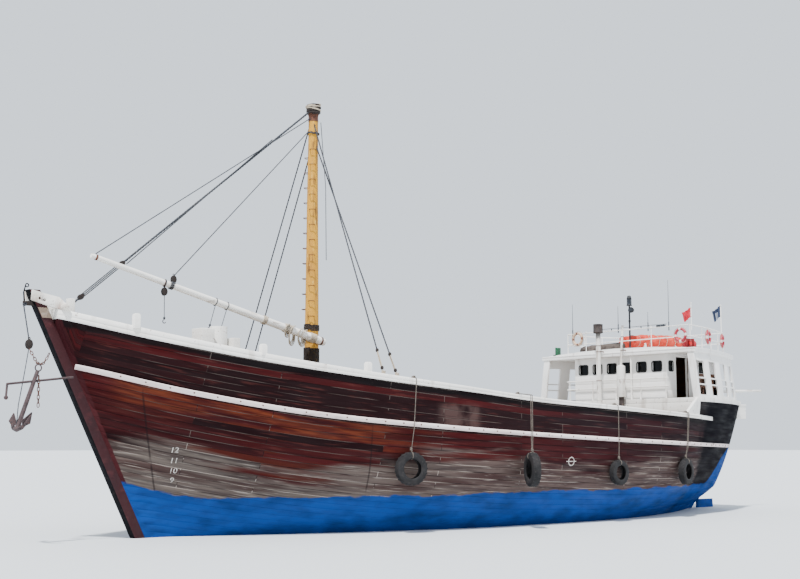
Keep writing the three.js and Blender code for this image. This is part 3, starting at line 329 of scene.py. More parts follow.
    # blue bottom paint, up the forefoot and the sternpost
    ragged = both(tree, patch(tree, place, (1.5, 1.5, 4), 4, 0.3, 0.7, 0.12), 0.06, "SUBTRACT")
    wet = both(tree, both(tree, along_table(tree, x, BLUE_TOP), z, "SUBTRACT"), ragged, "ADD")
    wood = over(tree, between(tree, wet, -0.03, 0.03), wood,
                over(tree, patch(tree, place, (1.2, 1.2, 3), 4, 0.4, 0.7, 0.7), "#0a3f88", "#0c284e"))
    grain = add(tree, "ShaderNodeTexNoise", {
        "Vector": add(tree, "ShaderNodeMapping", {"Vector": along, "Scale": (3, 60, 1)}), "Scale": 1.0,
        "Detail": 4.0})
    feed(tree, shader, {
        "Base Color": wood, "Specular IOR Level": spread(tree, quarter, 0.1, 0.02),
        "Roughness": spread(tree, patch(tree, along, (0.6, 4.0, 1), 4, 0.3, 0.7), 0.5, 0.9),
        "Normal": relief(tree, both(tree, grain, both(tree, seam, 1.5), "SUBTRACT"), 0.5, 0.006)})
    return material


def coated(name, slot, base, layers, roughness=(0.45, 0.75), grain=(6, 0.002), **fixed):
    """A coat of one colour with cloudy layers over it, its gloss and its small unevenness.

    A layer is: patches to the metre, detail, where it starts and is full, strength, colour; or
    only the first and the last of these.
    """
    material, tree, shader, where = new_finish(name, slot, **fixed)
    place = where.outputs["Object"]
    coat = base
    for layer in layers:
        stretch, detail, low, high, strength, colour = layer if len(layer) > 2 else (
            layer[0], 3, 0.5, 0.7, 0.5, layer[1])
        coat = over(tree, patch(tree, place, stretch, detail, low, high, strength), coat, colour)
    dull = patch(tree, place, grain[0], 4, 0.3, 0.7)
    feed(tree, shader, {"Base Color": coat, "Roughness": spread(tree, dull, *roughness),
                        "Normal": relief(tree, dull, 0.6, grain[1])})
    return material


# Bare deck planks, scrubbed and grey-brown, 150 mm wide, seams payed with black pitch.
def deck_planks():
    material, tree, shader, where = new_finish("scrubbed_deck_planks", "deck_wood")
    place = where.outputs["Object"]
    planks = add(tree, "ShaderNodeTexBrick", {
        "Vector": place, "Scale": 1.0, "Mortar Size": 0.008, "Mortar Smooth": 0.3, "Bias": 0.0,
        "Brick Width": 4.1, "Row Height": 0.15, "offset": 0.43, "offset_frequency": 2,
        "Color1": "#8d7a60", "Color2": "#74634f", "Mortar": "#221c18",
    })
    wood = over(tree, patch(tree, place, (0.6, 9, 1), 4, 0.4, 0.7, 0.7), planks, "#5d4c3b")
    wood = over(tree, patch(tree, place, (0.4, 0.4, 1), 3, 0.5, 0.75, 0.5), wood, "#a3927a")
    feed(tree, shader, {"Base Color": wood, "Roughness": 0.85,
                        "Normal": relief(tree, planks.outputs[1], 0.6, 0.006, True)})
    return material


STEM_RED, STEM_RED_WORN = "#321014", "#4a2022"
OILED = oiled_planks()
DECK = deck_planks()


def ease_edges(shell, width):
    """Rounds the sharp edges a little, as use does."""
    sharp = [e for e in shell.edges if len(e.link_faces) == 2 and e.calc_face_angle() > radians(40)]
    bmesh.ops.bevel(shell, geom=sharp, offset=width, segments=2, profile=0.6, affect="EDGES",
                    clamp_overlap=True)


def piece_of(name, mesh, body, smooth, stands_for=None):
    """Puts a mesh in the scene as a piece that rides on a body, and stands for a CAD piece if named."""
    piece = put_in(name, mesh)
    mesh.shade_smooth()
    mesh.set_sharp_from_angle(angle=radians(smooth))
    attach(piece, body)
    if stands_for:
        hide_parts(*([stands_for] if isinstance(stands_for, str) else stands_for))
    return piece


def gather(*parts):
    """Several bodies as one."""
    corners, faces = [], []
    for some, more in parts:
        faces += [tuple(k + len(corners) for k in face) for face in more]
        corners += list(some)
    return corners, faces


def new_piece(name, parts, finishes, body="boat", stands_for=None, shades=None, marks=None,
              smooth=30, eased=0):
    """A mesh piece of one or more bodies; shades gives each face its finish."""
    corners, faces = gather(*parts)
    mesh = bpy.data.meshes.new(name)
    mesh.from_pydata([tuple(map(float, c)) for c in corners], [], faces)
    for finish in finishes:
        mesh.materials.append(finish)
    if shades is not None:
        mesh.polygons.foreach_set("material_index", shades)
    if marks is not None:
        corner_of = np.zeros(len(mesh.loops), int)
        mesh.loops.foreach_get("vertex_index", corner_of)
        under_rail = [(x, rail_top(x) - cap_depth(x) - z) for x, _, z in corners]
        for label, values in (("planks", marks), ("under_rail", under_rail)):
            layer = mesh.uv_layers.new(name=label)
            layer.data.foreach_set("uv", np.asarray(values, float)[corner_of].ravel())
    shell = bmesh.new()
    shell.from_mesh(mesh)
    bmesh.ops.remove_doubles(shell, verts=shell.verts, dist=1e-5)
    bmesh.ops.recalc_face_normals(shell, faces=shell.faces)
    if eased:
        ease_edges(shell, eased)
    shell.to_mesh(mesh)
    shell.free()
    return piece_of(name, mesh, body, smooth, stands_for)


def skin(rings, closed=True):
    """Corners and faces of a body through rings with the same number of corners."""
    count = len(rings[0])
    faces = []
    for i in range(len(rings) - 1):
        for j in range(count if closed else count - 1):
            k = (j + 1) % count
            faces.append((i * count + j, i * count + k, (i + 1) * count + k, (i + 1) * count + j))
    faces.append(tuple(range(count))[::-1])
    faces.append(tuple(range((len(rings) - 1) * count, len(rings) * count)))
    return [corner for ring in rings for corner in ring], faces


def plank_rows(top, foot):
    """Girth of each row of corners, from top down to foot: plank faces and the caulked seams."""
    rows = []
    for k in range(math.floor(top / PLANK), math.ceil(foot / PLANK) + 1):
        seam = k * PLANK
        rows += [(seam - SEAM, 0), (seam, -SEAM_DEPTH), (seam + SEAM, 0), (seam + PLANK / 2, 0.003)]
    return rows


def side_rows(x, high, low, rows):
    """Corners of the planking's section at x, from high to low, and the girth of each."""
    z = np.linspace(high, low, 120)
    y = half_breadth(x, z)
    run = np.concatenate([[0], np.cumsum(np.hypot(np.diff(y), np.diff(z)))])
    run = run - np.interp(-rub_top(x), -z, run)
    out = np.gradient(z, run), -np.gradient(y, run)
    girth = np.clip([r for r, _ in rows], run[0], run[-1])
    proud = np.array([d for _, d in rows]) * ((girth > run[0]) & (girth < run[-1]))
    ys = np.interp(girth, run, y) - proud * np.interp(girth, run, out[0])
    zs = np.interp(girth, run, z) - proud * np.interp(girth, run, out[1])
    return ys, zs, girth


def stations(aft, fore, extra=()):
    """Even stations between two ends, with those at which something changes."""
    count = max(2, round((fore - aft) / STATION))
    between_ends = [aft + (fore - aft) * i / count for i in range(count + 1)]
    return sorted(set(between_ends) | set(extra))


def planked_body(name, xs, high, low, girths, slot, *stands_for):
    """Both sides of the planking with a flat top, closed at its ends."""
    rows = plank_rows(*girths)
    rings, marks = [], []
    for x in xs:
        ys, zs, girth = side_rows(x, high(x), low(x), rows)
        port = [(x, y, z) for y, z in zip(ys, zs)]
        rings.append(port + [(x, -y, z) for x, y, z in reversed(port)])
        marks += [(x, -g) for g in girth] + [(x, -g) for g in girth[::-1]]
    corners, faces = skin(rings)
    count = len(rings[0])
    shades = [1 if face[0] % count == count - 1 else 0 for face in faces[:-2]]
    new_piece(name, [(corners, faces)], [OILED, DECK], "boat", stands_for, shades + [0, 0], marks, 40)


def shell_top(x):
    """Deck height, and forward of the bulwarks the underside of the cap rail."""
    return rail_top(x) - cap_depth(x) if x > PROW_X else deck_at(x)


planked_body("hull_planking", stations(COUNTER_X, 14.22, (STERN_X, STERN_X - 0.001, PROW_X, PROW_X + 0.001)),
             shell_top, lambda x: min(hull_low(x), shell_top(x) - 0.01), (-2.0, 9.0), "hull_wood", "hull",
             "prow")
planked_body("poop_planking", stations(COUNTER_X, POOP_X), lambda x: POOP_DECK, lambda x: deck_at(x) + SEAT,
             (-2.0, 0.4), "black_paint", "poop")


# Bulwarks
# The same planks carried up past the deck as a low wall, open inboard, with the frames that hold
# it standing inside under the rail.
def bulwark(node, side):
    rows = plank_rows(-2.2, 0.6)
    rings, marks = [], []
    for x in stations(POOP_X + 0.001, PROW_X - 0.001):
        ys, zs, girth = side_rows(x, rail_top(x) - cap_depth(x), deck_at(x) + SEAT, rows)
        outer = [(x, side * y, z) for y, z in zip(ys, zs)]
        rings.append(outer + [(x, y - side * 0.17, z) for x, y, z in reversed(outer)])
        marks += [(x, -g) for g in girth] + [(x, -g) for g in girth[::-1]]
    corners, faces = skin(rings)
    new_piece(node + "_planks", [(corners, faces)], [OILED], stands_for=node, marks=marks, smooth=40)


bulwark("bulwark_port", 1)
bulwark("bulwark_starboard", -1)


# Stem
# A heavy raked timber closes the bow. Its front face and its head are tarred black; the
# planks end in a rabbet behind it; its sides are painted the same red-brown as the hull.
UP = (0, 0, 1)


def block(x0, x1, y0, y1, z0, z1):
    """A squared piece of timber or plate between its two far corners."""
    return skin([[(x, y0, z0), (x, y1, z0), (x, y1, z1), (x, y0, z1)] for x in (x0, x1)])


def span(side, near, far):
    """Both ends of a stretch across the boat, measured out from the centreline on one side."""
    return sorted((side * near, side * far))


def tube(path, radii, sides=10):
    """A round bar, pipe or line through the points of a path."""
    path = [Vector(point) for point in path]
    radii = radii if isinstance(radii, (list, tuple)) else [radii] * len(path)
    rings, side = [], None
    for i, point in enumerate(path):
        run = (path[min(i + 1, len(path) - 1)] - path[max(i - 1, 0)]).normalized()
        side = run.orthogonal() if side is None else side - run * side.dot(run)
        side.normalize()
        up = run.cross(side)
        rings.append([tuple(point + (side * cos(t) + up * sin(t)) * radii[i]) for t in around(sides)])
    return skin(rings)


def hoop(centre, axis, radius, thick, steps=32, across=10):
    """A closed ring of round section about an axis."""
    centre, axis = Vector(centre), Vector(axis).normalized()
    side = axis.orthogonal().normalized()
    up = axis.cross(side)
    corners, faces = [], []
    for i, turn in enumerate(around(steps)):
        out = side * cos(turn) + up * sin(turn)
        for j, roll in enumerate(around(across)):
            corners.append(tuple(centre + out * (radius + thick * cos(roll)) + axis * thick * sin(roll)))
            k, m = (i + 1) % steps, (j + 1) % across
            faces.append((i * across + j, k * across + j, k * across + m, i * across + m))
    return corners, faces


def mirrored(half):
    """A profile and its mirror image along the axis."""
    return half + [(radius, -along) for radius, along in half[::-1]]


def turned(centre, axis, profile, sides=24):
    """A body turned about an axis, through (radius, distance along) points."""
    centre, axis = Vector(centre), Vector(axis).normalized()
    side = axis.orthogonal().normalized()
    up = axis.cross(side)
    return skin([[tuple(centre + axis * along + (side * cos(t) + up * sin(t)) * radius)
                  for t in around(sides)] for radius, along in profile])


def softened(node, name, finishes, eased=0.008, shade=None, smooth=35):
    """The CAD piece with its edges eased; shade picks a finish for each face from its middle and normal."""
    shell = bmesh.new()
    shell.from_mesh(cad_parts[node].data)
    bmesh.ops.remove_doubles(shell, verts=shell.verts, dist=1e-4)
    bmesh.ops.dissolve_limit(shell, angle_limit=radians(1), verts=shell.verts, edges=shell.edges)
    ease_edges(shell, eased)
    mesh = bpy.data.meshes.new(name)
    shell.to_mesh(mesh)
    shell.free()
    for finish in finishes:
        mesh.materials.append(finish)
    for face in mesh.polygons:
        face.material_index = shade(face.center, face.normal) if shade else 0
    piece_of(name, mesh, "boat", smooth, node)


def tarred(name, base, scar):
    return coated(name, "black_paint", base,
                  [((3, 3, 1.2), 4, 0.5, 0.7, 0.6, scar), (9, 3, 0.62, 0.7, 0.4, "#3a2f2c")],
                  roughness=(0.6, 0.85), **{"Specular IOR Level": 0.05})


TAR = tarred("stem_tar", "#08080c", "#121118")
RED_BROWN = coated("red_brown_oil_paint", "hull_wood", STEM_RED, [
    ((1.5, 1.5, 0.6), 4, 0.48, 0.68, 0.6, "#260f14"), ((2.5, 2.5, 5.0), 4, 0.56, 0.7, 0.5, STEM_RED_WORN)],
    roughness=(0.45, 0.75), **{"Specular IOR Level": 0.25})
STEM_BLACK_ABOVE = 5.95


def stem_shade(middle, normal):
    return 1 if abs(normal.y) > 0.7 and middle.z < STEM_BLACK_ABOVE else 0


softened("stem_post", "stem_timber", [TAR, RED_BROWN], 0.02, stem_shade)


# Cap rails and rubbing strakes
# Squared timbers spiked along the top of the bulwarks and along the side, painted white and
# grimy where ropes and quays rub them. Timberheads stand through the cap rail for ropes.
WHITE = coated("weathered_white_paint", "white_paint", "#f1eee8", [
    ((0.5, 0.5, 3.0), 4, 0.5, 0.75, 0.45, "#c4bab0"),
    ((3.0, 3.0, 0.7), 5, 0.58, 0.72, 0.5, "#9a8a7a"),
    (9.0, 3, 0.66, 0.72, 0.6, "#6b5646"),
], roughness=(0.4, 0.7))
STRAKE_WHITE = coated("scuffed_pinkish_paint", "white_paint", "#ecdcd8", [
    ((0.6, 0.6, 3.0), 4, 0.5, 0.75, 0.6, "#cdb1ab"),
    ((1.4, 1.4, 9.0), 5, 0.6, 0.7, 0.75, "#7a5a52"),
], roughness=(0.5, 0.8))
RUST = coated("rusty_iron", "rusty_iron", "#5c3524", [
    (12, 5, 0.45, 0.65, 0.8, "#2f211c"), (30, 3, 0.6, 0.7, 0.6, "#8a4a28")],
    roughness=(0.7, 0.95))
CAP_OUT, CAP_INSIDE, CAP_TAIL_END, EASED = 0.05, 0.26, -11.2, 0.018
# columns: x of each timberhead, its height above the rail
TIMBERHEADS = [(12.51, 0.35), (9.21, 0.26), (6.03, 0.28)]


def eased_ring(x, section, side):
    ring = []
    for k, (y, z) in enumerate(section):
        for qy, qz in (section[k - 1], section[(k + 1) % len(section)]):
            share = min(EASED / math.hypot(qy - y, qz - z), 0.3)
            ring.append((x, side * (y + (qy - y) * share), z + (qz - z) * share))
    return ring


def cap_section(x):
    low = rail_top(x) - cap_depth(x) + SEAT
    y = side_at(x, low)
    groove, out = low + 0.4 * (rail_top(x) - low), y + CAP_OUT
    return [(out, low), (out, groove - 0.014), (out - 0.016, groove - 0.007), (out - 0.016, groove + 0.007),
            (out, groove + 0.014), (out, rail_top(x)), (max(y - CAP_INSIDE, 0.02), rail_top(x)),
            (max(y - CAP_INSIDE, 0.02), low)]


def tail_section(x):
    low = rail_top(x) - cap_depth(x) + SEAT
    y = side_at(x, low)
    return [(y + CAP_OUT, low), (y + CAP_OUT, rail_top(x)), (y + 0.004, rail_top(x)), (y + 0.004, low)]


def strake_section(x):
    low, high = rub_top(x) - RUB_DEEP, rub_top(x)
    y_low, y_high = side_at(x, low) + SEAT, side_at(x, high) + SEAT
    return [(y_low, low), (y_high, high), (y_high + RUB_PROUD, high - 0.02), (y_low + RUB_PROUD, low + 0.02)]


def timberhead(x, rise, side):
    """A squared post with a chamfered head."""
    y, top, half = side * (side_at(x, rail_top(x)) - 0.105), rail_top(x), 0.085
    rings = []
    for grow, z in ((half, top - 0.06), (half, top + rise - 0.05), (half * 0.65, top + rise)):
        rings.append([(x + grow * a, y + grow * b, z) for a, b in ((-1, -1), (1, -1), (1, 1), (-1, 1))])
    return skin(rings)


for side, word in ((1, "port"), (-1, "starboard")):
    rail = [eased_ring(x, cap_section(x), side) for x in stations(POOP_X + 0.001, 14.24)]
    tail = [eased_ring(x, tail_section(x), side) for x in stations(CAP_TAIL_END, POOP_X + 0.02)]
    heads = [timberhead(x, rise, side) for x, rise in TIMBERHEADS]
    new_piece(f"cap_rail_timber_{word}", [skin(rail), skin(tail), *heads], [WHITE],
                    smooth=50, stands_for=f"cap_rail_{word}")
    new_piece(f"rub_rail_timber_{word}", [skin([
        eased_ring(x, strake_section(x), side) for x in stations(-14.8, 13.6)])], [STRAKE_WHITE],
        smooth=50, stands_for=f"rub_rail_{word}")


# Bolts and frames
# Iron bolts hold the rubbing strake every 600 mm, and sawn frames stand inside the bulwark under
# the cap rail.
def new_tree(name, *inputs):
    """A geometry tree with its inputs, a finish and a result."""
    tree = bpy.data.node_groups.new(name, "GeometryNodeTree")
    for label, way, kind in [(label, "INPUT", kind) for label, kind in inputs] + [
            ("Finish", "INPUT", "Material"), ("Result", "OUTPUT", "Geometry")]:
        tree.interface.new_socket(name=label, in_out=way, socket_type="NodeSocket" + kind)
    return tree, add(tree, "NodeGroupInput", {})


def end_tree(tree, given, shape):
    """The shape in its finish is the tree's result."""
    add(tree, "NodeGroupOutput", {0: add(tree, "GeometryNodeSetMaterial", {
        "Geometry": shape, "Material": given.outputs["Finish"]})})
    return tree


def repeat_tree():
    """Sets an item at each point of the mesh, its Z along facing and its X along the row."""
    tree, given = new_tree("set_out", ("Points", "Geometry"), ("Item", "Object"))
    facing = add(tree, "GeometryNodeInputNamedAttribute", {"data_type": "FLOAT_VECTOR", "Name": "facing"})
    along = add(tree, "GeometryNodeInputNamedAttribute", {"data_type": "FLOAT_VECTOR", "Name": "along"})
    upright = add(tree, "FunctionNodeAlignRotationToVector", {"axis": "Z", "Vector": facing})
    turned_to = add(tree, "FunctionNodeAlignRotationToVector", {
        "axis": "X", "pivot_axis": "Z", "Rotation": upright, "Vector": along})
    item = add(tree, "GeometryNodeObjectInfo", {"Object": given.outputs["Item"]})
    rows = add(tree, "GeometryNodeInstanceOnPoints", {
        "Points": given.outputs["Points"], "Instance": item.outputs["Geometry"],
        "Rotation": turned_to})
    return end_tree(tree, given, add(tree, "GeometryNodeRealizeInstances", {"Geometry": rows}))


def grown(name, base, tree, inputs, body="boat", smooth=35, stands_for=None):
    """Runs a node tree on a mesh or curve and keeps the result as a plain mesh piece."""
    source = put_in(name + "_source", base)
    maker = source.modifiers.new(tree.name, "NODES")
    maker.node_group = tree
    for socket in tree.interface.items_tree:
        if socket.name in inputs:
            maker[socket.identifier] = inputs[socket.name]
    seen = source.evaluated_get(bpy.context.evaluated_depsgraph_get())
    mesh = bpy.data.meshes.new_from_object(seen)
    source.modifiers.remove(maker)
    bpy.data.objects.remove(source)
    mesh.name = name
    piece_of(name, mesh, body, smooth, stands_for)


SET_OUT = repeat_tree()


def set_out(name, item, places, finish):
    """One item at each place; a place is a point, what the item faces, and the way along the row."""
    mesh = bpy.data.meshes.new(name + "_item")
    mesh.from_pydata([tuple(map(float, c)) for c in item[0]], [], item[1])
    shell = bmesh.new()
    shell.from_mesh(mesh)
    bmesh.ops.recalc_face_normals(shell, faces=shell.faces)
    shell.to_mesh(mesh)
    shell.free()
    pattern = put_in(name + "_item", mesh)
    points = bpy.data.meshes.new(name + "_points")
    points.from_pydata([tuple(map(float, place[0])) for place in places], [], [])
    for column, label in ((1, "facing"), (2, "along")):
        values = points.attributes.new(label, "FLOAT_VECTOR", "POINT")
        values.data.foreach_set("vector", [float(v) for place in places for v in place[column]])
    grown(name, points, SET_OUT, {"Item": pattern, "Finish": finish})
    bpy.data.objects.remove(pattern)


BOLT = turned((0, 0, 0), UP, [(0.026, -0.004), (0.026, 0.006), (0.012, 0.012)], 8)
FRAME_POST = block(-0.05, 0.05, -0.39, 0.39, -0.05, 0.04)
bolts, posts = [], []
for side in (1, -1):
    for x in np.arange(-14.4, 13.0, 0.6):
        z = rub_top(x) - RUB_DEEP / 2
        bolts.append(((x, side * (side_at(x, z) + RUB_PROUD + 0.002), z), (0, side, 0), (1, 0, 0)))
    for x in np.arange(-9.4, 13.2, 0.55):
        z = deck_at(x) + 0.42
        inside = side_at(x, z) - 0.17 - 0.055
        lean = float(half_breadth(x, z + 0.3) - half_breadth(x, z - 0.3)) / 0.6
        if inside > 0.6:
            posts.append(((x, side * inside, z), (0, -side, lean), (1, 0, 0)))
set_out("strake_bolts", BOLT, bolts, RUST)
set_out("bulwark_frames", FRAME_POST, posts, RED_BROWN)


# Draught marks and load line
# Figures cut into the planks and picked out in white, plain numbers only, and a ring with a bar
# amidships.
MARK_WHITE = coated("chalky_white_marks", "white_paint", "#cfc8c0", [(20, 3, 0.5, 0.6, 0.7, "#7d726c")])
# columns: figure, x of its left edge, z of its foot
FIGURES = [("12", 10.97, 2.43), ("11", 10.92, 2.13), ("10", 10.88, 1.84), ("9", 10.8, 1.57)]
FIGURE_HEIGHT, MARK_PROUD = 0.15, 0.006
LOAD_LINE = {"x": -2.4, "z": 2.09, "radius": 0.15, "wide": 0.025}


def on_side(x, z, proud=MARK_PROUD):
    return (x, side_at(x, z) + proud, z)


def figure(text, x, z):
    """A number laid on the port side."""
    words = bpy.data.curves.new("figure_" + text, "FONT")
    words.body, words.size = text, FIGURE_HEIGHT * 1.4
    words.extrude = 0.0
    shape = put_in("figure_" + text, words)
    flat = bpy.data.meshes.new_from_object(shape.evaluated_get(bpy.context.evaluated_depsgraph_get()))
    bpy.data.objects.remove(shape)
    corners = [on_side(x - v.co.x, z + v.co.y) for v in flat.vertices]
    return corners, [tuple(face.vertices) for face in flat.polygons]


def mark_strip(path):
    """A painted line along a path on the side, as (x, z, half its width) points."""
    corners = [on_side(x, z + lift) for x, z, half in path for lift in (-half, half)]
    return corners, [(2 * i, 2 * i + 1, 2 * i + 3, 2 * i + 2) for i in range(len(path) - 1)]


def load_ring():
    corners, faces, count = [], [], 32
    for i, turn in enumerate(around(count)):
        for radius in (LOAD_LINE["radius"], LOAD_LINE["radius"] - LOAD_LINE["wide"]):
            corners.append(on_side(LOAD_LINE["x"] + radius * cos(turn), LOAD_LINE["z"] + radius * sin(turn)))
        k = (i + 1) % count
        faces.append((2 * i, 2 * i + 1, 2 * k + 1, 2 * k))
    return corners, faces


load_bar = mark_strip([(LOAD_LINE["x"] + reach, LOAD_LINE["z"], LOAD_LINE["wide"] / 2)
                       for reach in (-0.24, 0, 0.24)])


def thick_marks(parts, depth=0.004):
    """Gives the flat marks the thickness of their paint."""
    corners, faces = gather(*parts)
    back = [(x, y - depth, z) for x, y, z in corners]
    edges = {}
    for face in faces:
        for a, b in zip(face, face[1:] + face[:1]):
            edges[(a, b)] = edges.get((a, b), 0) + 1
    count = len(corners)
    rim = [(a, b, b + count, a + count) for a, b in edges if (b, a) not in edges]
    return corners + back, faces + [tuple(k + count for k in face[::-1]) for face in faces] + rim


new_piece("draught_marks", [thick_marks([figure(*row) for row in FIGURES] + [load_ring(), load_bar])],
          [MARK_WHITE])


# Bow boards, bitt and prow
# Boards bolted on both sides of the stem head carry the line of the rail forward and up, with two
# hawse holes each; rust has run down them from the fittings. A square bitt stands behind.
RUSTY_WHITE = coated("rust_stained_white_paint", "white_paint", "#efebe3", [
    (0.9, 4, 0.5, 0.66, 0.75, "#b79c86"),
    ((3.0, 3.0, 1.0), 5, 0.55, 0.68, 0.7, "#8a5f44"),
    (9.0, 3, 0.62, 0.7, 0.7, "#54382a"),
], roughness=(0.5, 0.8))
softened("bow_boards", "bow_board_pair", [RUSTY_WHITE], 0.012)
softened("bow_bitt", "bow_bitt_post", [WHITE], 0.02)
# the foot of each board, stained brown, laps over the side of the stem
stem_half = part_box("stem_post")[1][1]
skirts = [skin([[(stem_front(z) - 0.31, side * (stem_half + out), z) for out in (SEAT, 0.014)]
                + [(stem_front(z) - 0.02, side * (stem_half + out), z) for out in (0.014, SEAT)]
                for z in np.linspace(6.12, 6.4, 6)]) for side in (1, -1)]
new_piece("bow_board_skirts", skirts, [coated("brown_stained_board", "white_paint", "#8f7b68", [
    ((2, 2, 1), 4, 0.42, 0.62, 0.9, "#3d2a22"), (5, 3, 0.55, 0.7, 0.7, "#b9aa9a")])],
          eased=0.003)
hook = gather(
    tube([(15.06, 0, 6.5), (15.09, 0, 6.8), (15.045, 0, 7.0)], [0.026, 0.022, 0.016], 8),
    hoop((15.0, 0, 7.0), (0, 1, 0), 0.045, 0.016, 20, 8),
)
new_piece("stem_head_hook", [hook], [TAR], eased=0.004)


# Foredeck gear
# A wooden chest and a steel drum stand on the raised foredeck beside the boarded stores box, all
# painted white and chipped at their edges.
DRUM_WHITE = coated("chipped_white_enamel", "white_metal", "#efede8", [
    ((4, 4, 1.0), 4, 0.52, 0.7, 0.5, "#b8aea2"), (14, 3, 0.64, 0.7, 0.8, "#7a4a30")],
    roughness=(0.35, 0.6))
softened("deck_box", "stores_box", [WHITE], 0.012)
softened("deck_chest", "deck_chest_boards", [WHITE], 0.012)
drum_low, drum_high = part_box("deck_drum")
DRUM_X, DRUM_Y = (drum_low[0] + drum_high[0]) / 2, (drum_low[1] + drum_high[1]) / 2
drum_top = drum_high[2]
drum = [(0.2, drum_low[2] + 0.001), (0.256, drum_low[2] + 0.001), (0.26, drum_low[2] + 0.02)]
for hoop_z in (drum_low[2] + 0.32, drum_low[2] + 0.62):
    drum += [(0.252, hoop_z - 0.03), (0.262, hoop_z), (0.252, hoop_z + 0.03)]
drum += [(0.26, drum_top - 0.02), (0.256, drum_top), (0.24, drum_top), (0.238, drum_top - 0.02),
         (0.0001, drum_top - 0.02)]
new_piece("steel_drum", [turned((DRUM_X, DRUM_Y, 0), UP, drum, 40)], [DRUM_WHITE], smooth=50,
          stands_for="deck_drum")


# Cargo hatch
# A coaming of thick planks, painted brown and worn, with loose hatch boards laid across it, grey
# from weather. The foredeck is planked like them.
HATCH_HALF, HATCH_RISE, HATCH_FORE, HATCH_AFT, BOARD_PITCH = 2.1, 0.62, 3.2, -7.8, 0.3
COAMING = coated("weathered_coaming_paint", "deck_wood", "#6b4a3c", [
    ((1.2, 1.2, 5), 4, 0.45, 0.7, 0.7, "#4a332a"), (5, 4, 0.6, 0.7, 0.6, "#8d7a68")], roughness=(0.6, 0.85))
coaming = [[(x, HATCH_HALF, deck_at(x) + 0.001), (x, HATCH_HALF, deck_at(x) + HATCH_RISE - 0.05),
            (x, -HATCH_HALF, deck_at(x) + HATCH_RISE - 0.05), (x, -HATCH_HALF, deck_at(x) + 0.001)]
           for x in stations(HATCH_AFT, HATCH_FORE)]
new_piece("hatch_coaming_planks", [skin(coaming)], [COAMING], eased=0.012, stands_for="hatch_coaming")
hatch_board = block(-0.145, 0.145, -HATCH_HALF + 0.01, HATCH_HALF - 0.01, -0.045, 0)
board_places = []
for x in np.arange(HATCH_AFT + 0.15, HATCH_FORE - 0.1, BOARD_PITCH):
    slope = (deck_at(x + 0.1) - deck_at(x - 0.1)) / 0.2
    board_places.append(((x, 0, deck_at(x) + HATCH_RISE - 0.002), (-slope, 0, 1), (1, 0, slope)))
set_out("hatch_boards", hatch_board, board_places, DECK)
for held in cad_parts["foredeck"].material_slots:
    held.material = DECK


# Mast
# One tall pole of a straight trunk, scraped and painted ochre, worn to the wood in streaks. Bent
# iron steps are driven into its fore side, and its foot is served with tarred rope.
MAST_X, MAST_TOP = 5.25, 13.82
MAST_FOOT_RADIUS, MAST_HEAD_RADIUS = 0.25, 0.15
OCHRE = coated("worn_ochre_mast_paint", "yellow_paint", "#c88f18", [
    ((5, 5, 0.5), 4, 0.48, 0.7, 0.6, "#a06614"), ((9, 9, 1.5), 4, 0.56, 0.68, 0.75, "#5c3712"),
    ((14, 14, 4.0), 3, 0.64, 0.7, 0.6, "#dcb75c")], roughness=(0.45, 0.7), grain=((9, 9, 3), 0.004))
TARRED_ROPE = coated("tarred_hemp_rope", "rope", "#2a211d", [(30, 3, 0.45, 0.65, 0.7, "#191412")],
                     roughness=(0.85, 1.0))
PALE_ROPE = coated("sun_bleached_rope", "rope", "#b9ab97", [(30, 3, 0.45, 0.65, 0.7, "#7d7264")],
                   roughness=(0.9, 1.0))
GREY_ROPE = coated("weathered_grey_rope", "rope", "#6f665d", [(30, 3, 0.45, 0.65, 0.7, "#453d38")],
                  roughness=(0.9, 1.0))
STAY_WIRE = coated("greased_wire_rope", "rope", "#2c323c", [(30, 3, 0.45, 0.65, 0.7, "#5f5a52")],
                   roughness=(0.5, 0.75), Metallic=0.4)
STEP = {"angle": 50, "reach": 0.1, "half": 0.09, "pitch": 0.25, "first": 6.75, "last": 12.25}


def mast_radius(z):
    return MAST_FOOT_RADIUS + (MAST_HEAD_RADIUS - MAST_FOOT_RADIUS) * (z - deck_at(MAST_X)) / (
        MAST_TOP - deck_at(MAST_X))


def coil(centre, axis, radius, pitch, turns, wobble=0.0):
    """Points of a rope wound round an axis."""
    centre, axis = Vector(centre), Vector(axis).normalized()
    side = axis.orthogonal().normalized()
    up = axis.cross(side)
    points = []
    for i in range(int(turns * 18) + 1):
        t = 2 * pi * i / 18
        out = radius * (1 + wobble * sin(2.3 * t))
        points.append(centre + side * out * cos(t) + up * out * sin(t) + axis * pitch * t / (2 * pi))
    return points


mast_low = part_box("mast")[0][2]
mast_rings = []
for z in np.linspace(mast_low, MAST_TOP - 0.6, 60):
    mast_rings.append([(MAST_X + (mast_radius(z) + 0.004 * sin(3 * t + 0.9 * z)) * cos(t),
                        (mast_radius(z) + 0.004 * sin(3 * t + 0.9 * z)) * sin(t), z) for t in around(32)])
new_piece("mast_pole", [skin(mast_rings)], [OCHRE], smooth=50, stands_for="mast")
staple = tube([(-STEP["half"], 0, -0.03), (-STEP["half"], 0, STEP["reach"] - 0.02),
               (-STEP["half"] + 0.02, 0, STEP["reach"]), (STEP["half"] - 0.02, 0, STEP["reach"]),
               (STEP["half"], 0, STEP["reach"] - 0.02), (STEP["half"], 0, -0.03)], 0.012, 7)
steps = []
for i, z in enumerate(np.arange(STEP["first"], STEP["last"] + 0.01, STEP["pitch"])):
    turn = radians(STEP["angle"]) * (1 if i % 2 == 0 else -1)
    out = (cos(turn), sin(turn), 0)
    steps.append(((MAST_X + mast_radius(z) * out[0], mast_radius(z) * out[1], z), out, (-out[1], out[0], 0)))
set_out("mast_steps", staple, steps, RUST)
serving = tube(coil((MAST_X, 0, 4.95), UP, mast_radius(5.3) + 0.014, 0.036, 22, 0.004), 0.017, 7)
